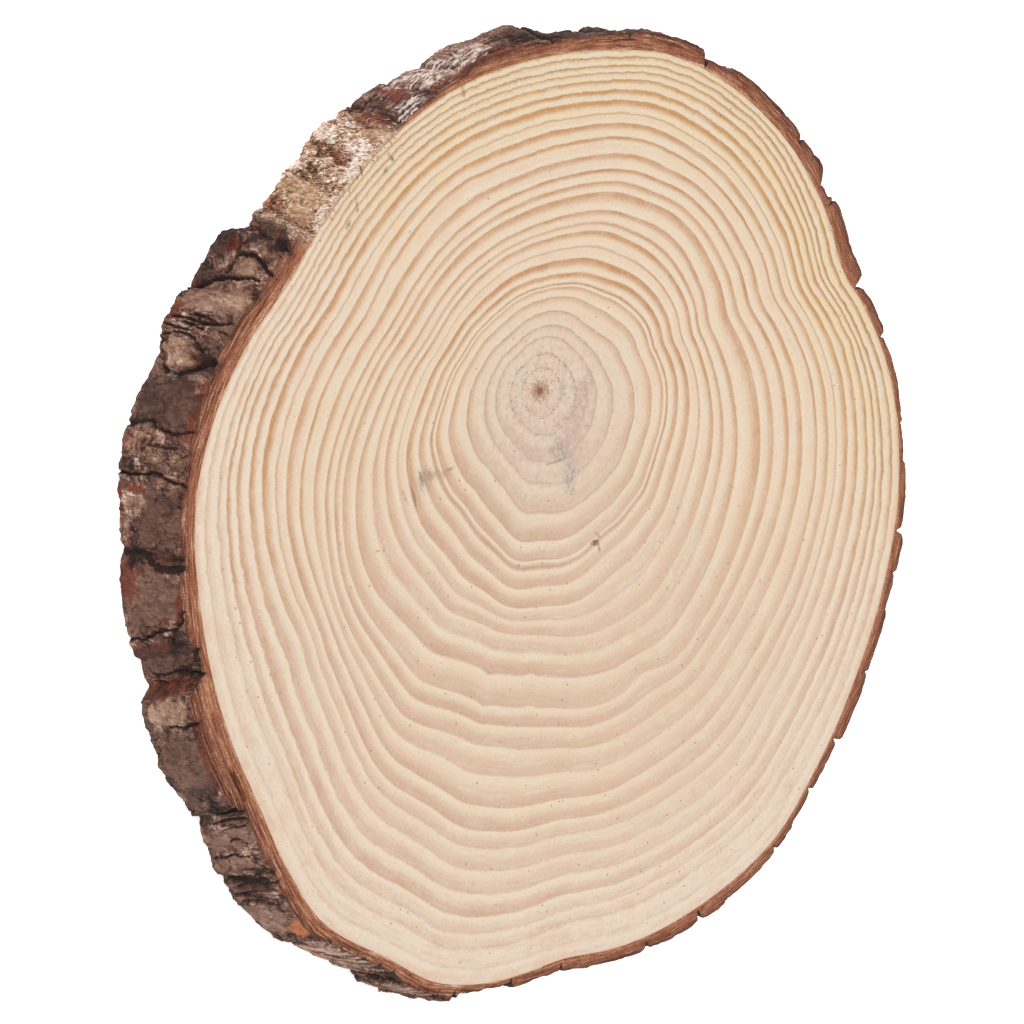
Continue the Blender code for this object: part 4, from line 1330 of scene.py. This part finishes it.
def bark_material(specks):
    """Pine bark: layered grey-brown plates, red and tan patches, sawn inner bark, painted shade in cracks and
    hollows, and painted highlights and glints.
    """
    material, nodes, shader = new_material("pine_bark")
    place = nodes.place()
    x, y, _ = nodes.sides(place)
    masks = {name: nodes.attribute(name) for name in BARK_VALUES}
    fine = nodes.noise(place, 0.5, 3.0, 0.75)
    broad = nodes.noise(place, 8.0, 3.0, 0.6)
    patchy = nodes.noise(place, 2.4, 4.0, 0.7)
    streaks = nodes.blend(masks["sheaf"], nodes.noise(nodes.stretched(place, 1.0, 1.0, 0.2), 0.7, 3.0, 0.65),
                          nodes.noise(nodes.stretched(place, 0.2, 0.2, 1.0), 0.8, 3.0, 0.65))

    # How light the bark is: its plates and flakes, streaks along the trunk, and grit, with painted highlight
    # on crests and painted shade in hollows
    busy = masks["calm"].line(1.0, 0.4)
    light = masks["tone"] + broad.spread(0.34) + patchy.spread(0.6) * busy
    light = light + streaks.spread(0.8) * masks["calm"].line(1.0, 0.6) + fine.spread(1.1) * busy
    # Painted highlight on crests, weaker on calm plates.
    light = light + masks["crest_highlight"] * 0.32 * masks["calm"].line(1.0, 0.3)
    light = light - masks["dark"] * 0.22 - masks["hollow_shade"] * 0.75

    # Hairline cracks, mostly along the trunk, in some places only
    bent = nodes.scaled(nodes.noise(place, 3.0, 3.0, 0.6, "Color"), 3.5)
    bent = nodes.vector("ADD", nodes.stretched(place, 1.0, 1.0, 0.4), bent)
    cells = nodes.add("ShaderNodeTexVoronoi", {"Vector": bent, "Scale": 0.21}, feature="DISTANCE_TO_EDGE")
    hairline = cells.step(0.0, 0.035, 1.0, 0.0) * broad.step(0.42, 0.56)
    light = light - hairline * 0.34

    # Rust, and red, tan and orange patches
    rust = nodes.noise(place, 3.2, 4.0, 0.65).step(0.54, 0.68, 0.0, 0.7) * busy
    spotted = (patchy + fine.spread(0.7)).step(0.38, 0.56)
    red = nodes.larger(masks["red"] * spotted.line(0.8, 1.13), rust)
    tan = nodes.larger(masks["tan"], masks["knob"] * 0.7) * spotted.line(0.45, 1.0)
    orange = nodes.mix(fine.step(0.35, 0.65), paint(158, 84, 44), paint(206, 132, 84))
    plate = light.ramp(*BARK_SHADES).tinted(
        (red * 0.88, (light * 0.65 + 0.12).ramp(*RED_SHADES)), (tan * 0.85, light.ramp(*TAN_SHADES)),
        (masks["orange"] * spotted.line(0.7, 1.0), orange))

    # Torn bark: high contrast between pale fibres and dark holes, and straw where it is calmer
    ragged = nodes.noise(nodes.stretched(place, 1.0, 1.0, 0.45), 0.9, 3.0, 0.8).spread(3.4)
    ragged = ragged + nodes.noise(place, 2.6, 3.0, 0.6).spread(1.5)
    ragged = ragged + (0.58 + masks["pale"] * 0.3) - masks["dark"] * 0.28
    calmer = ragged.spread(0.45) + (streaks.spread(1.2) + 0.5)
    gaps = nodes.noise(nodes.stretched(place, 1.0, 1.0, 0.1), 0.9, 3.0, 0.7).step(0.56, 0.64, 0.0, 0.75)
    straw = calmer.ramp(*STRAW_SHADES).tinted((gaps, (96, 66, 48)))
    fibrous = ragged.ramp(*TORN_SHADES).tinted(
        (masks["tan"] * 0.85, straw), (masks["red"] * 0.8, ragged.ramp(*RED_SHADES)))
    # Pale patches: whitish bark, partly painted highlight.
    pale = masks["pale"] * (streaks + patchy.spread(0.8)).step(0.42, 0.62)
    # Painted glints: tiny near-white specks of shine on dark and torn bark.
    painted_glint = nodes.group(specks, Place=nodes.stretched(place, 1.0, 1.0, 0.5), Spacing=1.5, Size=0.3, Share=0.3)
    painted_glint = painted_glint * (masks["dark"] * 0.5 + (masks["torn"] * 0.6 + 0.06))
    plate = plate.tinted((masks["torn"], fibrous), (pale * 0.85, (234, 217, 209)), (painted_glint, (226, 214, 208)))

    # Sawn edge: thin layers that run with the edge, darker towards the rim
    layer, rim = masks["layer"], masks["rim"]
    waved = layer + nodes.noise(place, 11.0).spread(1.4)
    lines = nodes.noise(nodes.joined(x * 0.09, y * 0.09, waved * 1.9), 1.0, 2.0, 0.75)
    wisps = nodes.noise(nodes.joined(x * 0.3, y * 0.3, waved * 4.0), 1.0, 2.0, 0.7)
    sawn_light = lines.spread(2.0) * busy + (fine.spread(1.1) + 0.5) + layer.step(0.3, 1.1, 0.16, 0.0)
    sawn_light = sawn_light + patchy.spread(0.5) + rim.step(0.8, 1.0, 0.0, -0.2)
    rim_dark = rim.step(0.84, 0.97) * patchy.step(0.42, 0.56, 0.2, 0.85)
    torn_edge = nodes.mix(patchy.step(0.4, 0.6), paint(212, 172, 142), paint(240, 218, 204))
    sawn = sawn_light.ramp(*INNER_SHADES).tinted(
        ((rim + patchy.spread(0.5)).step(0.35, 0.85), sawn_light.ramp(*OUTER_SHADES)),
        (wisps.step(0.6, 0.7, 0.0, 0.45), (216, 168, 138)), (wisps.step(0.4, 0.3, 0.0, 0.5), (84, 46, 34)),
        (rim_dark, (62, 40, 33)), (masks["torn"] * 0.9, torn_edge))
    # Painted shade turns hollows, cracks and furrows dark brown.
    colour = plate.tinted((masks["sawn"], sawn), (masks["hollow_shade"].step(0.5, 1.0, 0.0, 0.75), (48, 31, 25)))

    relief = streaks * 0.7 + (fine + patchy) - hairline * 0.6
    relief = nodes.blend(masks["sawn"], relief, lines * 0.9 * busy + fine * 0.5)
    finish_material(nodes, shader, colour, fine.change(0.3, 0.7, 0.7, 0.95), 0.22)
    add_relief(nodes, shader, relief, 0.5, 0.8)
    return material


def fibre_material():
    """Torn fibres, each in its own tint from dark brown to nearly white."""
    material, nodes, shader = new_material("torn_fibre")
    shade, tint, pale, dark, hollow_shade, red, tan = map(nodes.attribute, FIBRE_VALUES)
    light = shade.line(0.32, 0.94) + nodes.noise(nodes.place(), 2.6, 3.0, 0.6).spread(1.5)
    # Fibres in hollows get painted shade.
    light = light + pale * 0.34 - dark * 0.34 - hollow_shade * 0.25
    rust = (tint.step(0.76, 0.84) + red) * 0.75
    colour = light.ramp(*TORN_SHADES)
    colour = colour.tinted((rust, light.ramp(*RED_SHADES)), (tan * 0.6, light.ramp(*STRAW_SHADES)))
    finish_material(nodes, shader, colour, 0.85, 0.3)
    return material


def floor_material():
    material, nodes, shader = new_material("pale_floor")
    colour = nodes.mix(nodes.noise(nodes.place(), 300.0), (0.90, 0.90, 0.90, 1.0), (0.93, 0.93, 0.93, 1.0))
    finish_material(nodes, shader, colour, 0.8, 0.1)
    shader.inputs["Emission Color"].default_value = (1.0, 1.0, 1.0, 1.0)
    shader.inputs["Emission Strength"].default_value = FLOOR_GLOW
    return material


# Torn fibres

FIBRE_SIZES = {"Fibres per mm2": 1.9, "Length": 1.9, "Thickness": 0.34, "Lift": 6.0, "Turn": 32.0}
FIBRE_SEGMENTS = 3
FIBRE_FACES = 3 * FIBRE_SEGMENTS + 2
FIBRE_VALUES = ("shade", "tint", "pale", "dark", "hollow_shade", "red", "tan")

# Fibres grow denser between these two heights, and those rooted lower than this one never point downwards.
FIBRE_HEIGHTS = (0.8, 3.0)
LOWEST_DOWNWARDS = 2.7


def fibre_tree(material):
    """Geometry tree that strews curved fibres over a surface, as dense as its torn attribute says.

    They lie along the trunk on the bark's side and outwards on its sawn edge.
    """
    tree = bpy.data.node_groups.new("torn_fibres", "GeometryNodeTree")
    tree.interface.new_socket("Geometry", in_out="INPUT", socket_type="NodeSocketGeometry")
    for name, size in FIBRE_SIZES.items():
        tree.interface.new_socket(name, in_out="INPUT", socket_type="NodeSocketFloat").default_value = size
    tree.interface.new_socket("Geometry", in_out="OUTPUT", socket_type="NodeSocketGeometry")
    nodes = Nodes(tree)
    given = nodes.add("NodeGroupInput").outputs()

    def chance(low, high, seed):
        inputs = {2: low, 3: high, "Seed": SEED + seed}
        return nodes.add("FunctionNodeRandomValue", inputs, 1, data_type="FLOAT")

    def named(name):
        return nodes.add("GeometryNodeInputNamedAttribute", {"Name": name}, data_type="FLOAT")

    def turned(rotation, axis, degrees):
        inputs = {"Axis": axis, "Angle": nodes.math("RADIANS", degrees)}
        by = nodes.add("FunctionNodeAxisAngleToRotation", inputs)
        inputs = {"Rotation": rotation, "Rotate By": by}
        return nodes.add("FunctionNodeRotateRotation", inputs, rotation_space="LOCAL")

    # One fibre, bent upwards and thinning to its tip
    length = given["Length"] * MM
    spine = nodes.add("GeometryNodeCurveQuadraticBezier", {
        "Resolution": FIBRE_SEGMENTS, "Start": (0.0, 0.0, 0.0),
        "Middle": nodes.joined(length * 0.5, length * 0.12, length * 0.1),
        "End": nodes.joined(length, 0.0, length * 0.02)})
    section = nodes.add("GeometryNodeCurvePrimitiveCircle", {
        "Resolution": 3, "Radius": given["Thickness"] * (0.5 * MM)})
    fibre = nodes.add("GeometryNodeCurveToMesh", {
        "Curve": spine, "Profile Curve": section, "Fill Caps": True,
        "Scale": nodes.add("GeometryNodeSplineParameter").step(0.4, 1.05, 1.0, 0.2)})

    # Where the fibres grow
    position = nodes.add("GeometryNodeInputPosition")
    _, _, rise = nodes.sides(position)
    density = named("torn") * given["Fibres per mm2"] * (1.0 / MM ** 2)
    density = density * named("tan").line(1.0, 0.15) * named("sawn").line(1.0, 0.4)
    density = density * rise.step(*(height * MM for height in FIBRE_HEIGHTS))
    scatter = nodes.add("GeometryNodeDistributePointsOnFaces", {
        "Mesh": given["Geometry"], "Density": density, "Seed": SEED})

    # Which way they lie
    outwards = nodes.vector("NORMALIZE", nodes.stretched(position, 1.0, 1.0, 0.0))
    normal = nodes.vector(
        "ADD", nodes.scaled(scatter.outputs()["Normal"], 0.35), nodes.scaled(outwards, 1.0 - named("sawn")))
    lying = nodes.add("FunctionNodeAxesToRotation", {
        "Primary Axis": nodes.vector("NORMALIZE", normal),
        "Secondary Axis": nodes.vector("ADD", outwards, (0.0, 0.0, 1.0)),
    }, primary_axis="Z", secondary_axis="X")

    # Half of the fibres point downwards, but none of those that would reach below the lower sawn face.
    half_turn = nodes.math("GREATER_THAN", chance(0.0, 1.0, 1), 0.5) * 180.0
    half_turn = half_turn * nodes.math("GREATER_THAN", rise, LOWEST_DOWNWARDS * MM)
    lying = turned(lying, (0.0, 0.0, 1.0), half_turn + chance(-1.0, 1.0, 2) * given["Turn"])
    lying = turned(lying, (0.0, 1.0, 0.0), chance(-1.0, 0.4, 3) * given["Lift"])
    lying = turned(lying, (1.0, 0.0, 0.0), chance(-30.0, 30.0, 4))
    made = nodes.add("GeometryNodeInstanceOnPoints", {
        "Points": scatter, "Instance": fibre, "Rotation": lying, "Scale": chance(0.45, 1.3, 5)})
    for name, seed in (("shade", 6), ("tint", 7)):
        inputs = {"Geometry": made, "Name": name, "Value": chance(0.0, 1.0, seed)}
        made = nodes.add("GeometryNodeStoreNamedAttribute", inputs, domain="INSTANCE", data_type="FLOAT")
    made = nodes.add("GeometryNodeRealizeInstances", [made])
    made = nodes.add("GeometryNodeSetMaterial", {"Geometry": made, "Material": material})
    nodes.give(made, tree.nodes.new("NodeGroupOutput").inputs["Geometry"])
    return tree


def grow(name, ground, tree, sizes):
    """Plain mesh of what a geometry tree makes on the ground's mesh."""
    made = bpy.data.objects.new(name, ground.data.copy())
    bpy.context.scene.collection.objects.link(made)
    modifier = made.modifiers.new(name, "NODES")
    modifier.node_group = tree
    for item in tree.interface.items_tree:
        if item.in_out == "INPUT" and item.name in sizes:
            modifier[item.identifier] = sizes[item.name]
    evaluated = made.evaluated_get(bpy.context.evaluated_depsgraph_get())
    mesh = bpy.data.meshes.new_from_object(evaluated)
    made.modifiers.remove(modifier)
    made.data = mesh
    return made


def map_fibres(mesh):
    """Gives each fibre its own cell of the bake map and each of its faces a part of that cell."""
    for name in [attribute.name for attribute in mesh.attributes]:
        kind = mesh.attributes[name].data_type
        if name == "id" or kind in ("FLOAT", "FLOAT2") and name not in FIBRE_VALUES:
            mesh.attributes.remove(mesh.attributes[name])
    count = len(mesh.polygons)
    across = int(np.ceil(np.sqrt(count / FIBRE_FACES)))
    sizes, starts = np.zeros((2, count), np.int32)
    mesh.polygons.foreach_get("loop_total", sizes)
    mesh.polygons.foreach_get("loop_start", starts)
    face = np.repeat(np.arange(count), sizes)
    corner = np.arange(len(mesh.loops)) - starts[face]
    fibre, part = face // FIBRE_FACES, face % FIBRE_FACES
    spot = np.array([(0.1, 0.1), (0.9, 0.1), (0.9, 0.9), (0.1, 0.9)])[corner]
    part_place = np.stack([part % 4, part // 4], 1)
    cell_place = np.stack([fibre % across, fibre // across], 1)
    store_bake_map(mesh, (cell_place + (part_place + spot) / (4, 3)) / across)


# Floor, light and camera

FLOOR_RADIUS = 3600.0
FLOOR_RISE = 900.0
FLOOR_SEGMENTS = 96


def build_floor(material):
    """Round pale floor whose rim curves up, so that no horizon shows."""
    cos, sin = polar(np.arange(FLOOR_SEGMENTS) * 360.0 / FLOOR_SEGMENTS)
    vertices = [(0.0, 0.0, 0.0)]
    faces = []
    for k, turn in enumerate(range(0, 91, 10)):
        turned_cos, turned_sin = polar(turn)
        radius = FLOOR_RADIUS - FLOOR_RISE + FLOOR_RISE * turned_sin
        height = FLOOR_RISE * (1.0 - turned_cos)
        vertices += [(radius * c, radius * s, height) for c, s in zip(cos, sin)]
        base = 1 + k * FLOOR_SEGMENTS
        inner = base - FLOOR_SEGMENTS
        for a in range(FLOOR_SEGMENTS):
            b = (a + 1) % FLOOR_SEGMENTS
            faces.append((inner + a, base + a, base + b, inner + b) if k else (0, base + a, base + b))
    floor = new_object("floor", vertices, faces, material)
    floor.data.shade_smooth()


def light_scene():
    """White light from all round, and a soft key light that comes from -X, -Y and above."""
    world = bpy.data.worlds.new("studio")
    world.use_nodes = True
    background = world.node_tree.nodes["Background"]
    background.inputs["Color"].default_value = (1.0, 1.0, 1.0, 1.0)
    background.inputs["Strength"].default_value = SKY_STRENGTH
    bpy.context.scene.world = world

    key = bpy.data.lights.new("key", "SUN")
    key.energy = KEY_STRENGTH
    key.angle = np.radians(KEY_ANGLE)
    lamp = bpy.data.objects.new("key", key)
    lamp.rotation_mode = "QUATERNION"
    lamp.rotation_quaternion = Vector(KEY_TRAVEL).to_track_quat("-Z", "Y")
    bpy.context.scene.collection.objects.link(lamp)


def place_camera():
    """Camera at the photo's viewing angle: tilted from straight above and rolled a quarter turn and more."""
    tilt, roll = np.radians(CAMERA_TILT), np.radians(CAMERA_ROLL)
    forward = Vector((0.0, np.sin(tilt), -np.cos(tilt)))
    flat_right = Vector((1.0, 0.0, 0.0))
    flat_up = Vector((0.0, np.cos(tilt), np.sin(tilt)))
    right = flat_up * np.cos(roll) - flat_right * np.sin(roll)
    up = -flat_right * np.cos(roll) - flat_up * np.sin(roll)
    camera = bpy.data.cameras.new("camera")
    camera.lens = CAMERA_LENS
    camera.sensor_width = SENSOR_WIDTH
    camera.clip_start, camera.clip_end = 0.05, 50.0
    holder = bpy.data.objects.new("camera", camera)
    holder.rotation_mode = "QUATERNION"
    holder.rotation_quaternion = Matrix((right, up, -forward)).transposed().to_quaternion()
    holder.location = (Vector(CAMERA_TARGET) - forward * CAMERA_DISTANCE) * MM
    bpy.context.scene.collection.objects.link(holder)
    bpy.context.scene.camera = holder


place_camera()
light_scene()
bpy.context.scene.view_settings.view_transform = "Standard"

specks, spot, grain = specks_group(), spot_group(), grain_group()
build_floor(floor_material())

wood = build_wood(wood_material(specks, spot, grain))
bark = build_bark(bark_material(specks))
fibres = grow("torn_fibres", bark, fibre_tree(fibre_material()), FIBRE_SIZES)
map_fibres(fibres.data)
for piece, slot in ((wood, "wood"), (bark, "bark"), (fibres, "bark")):
    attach(piece, "root")
    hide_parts("wood_slice")
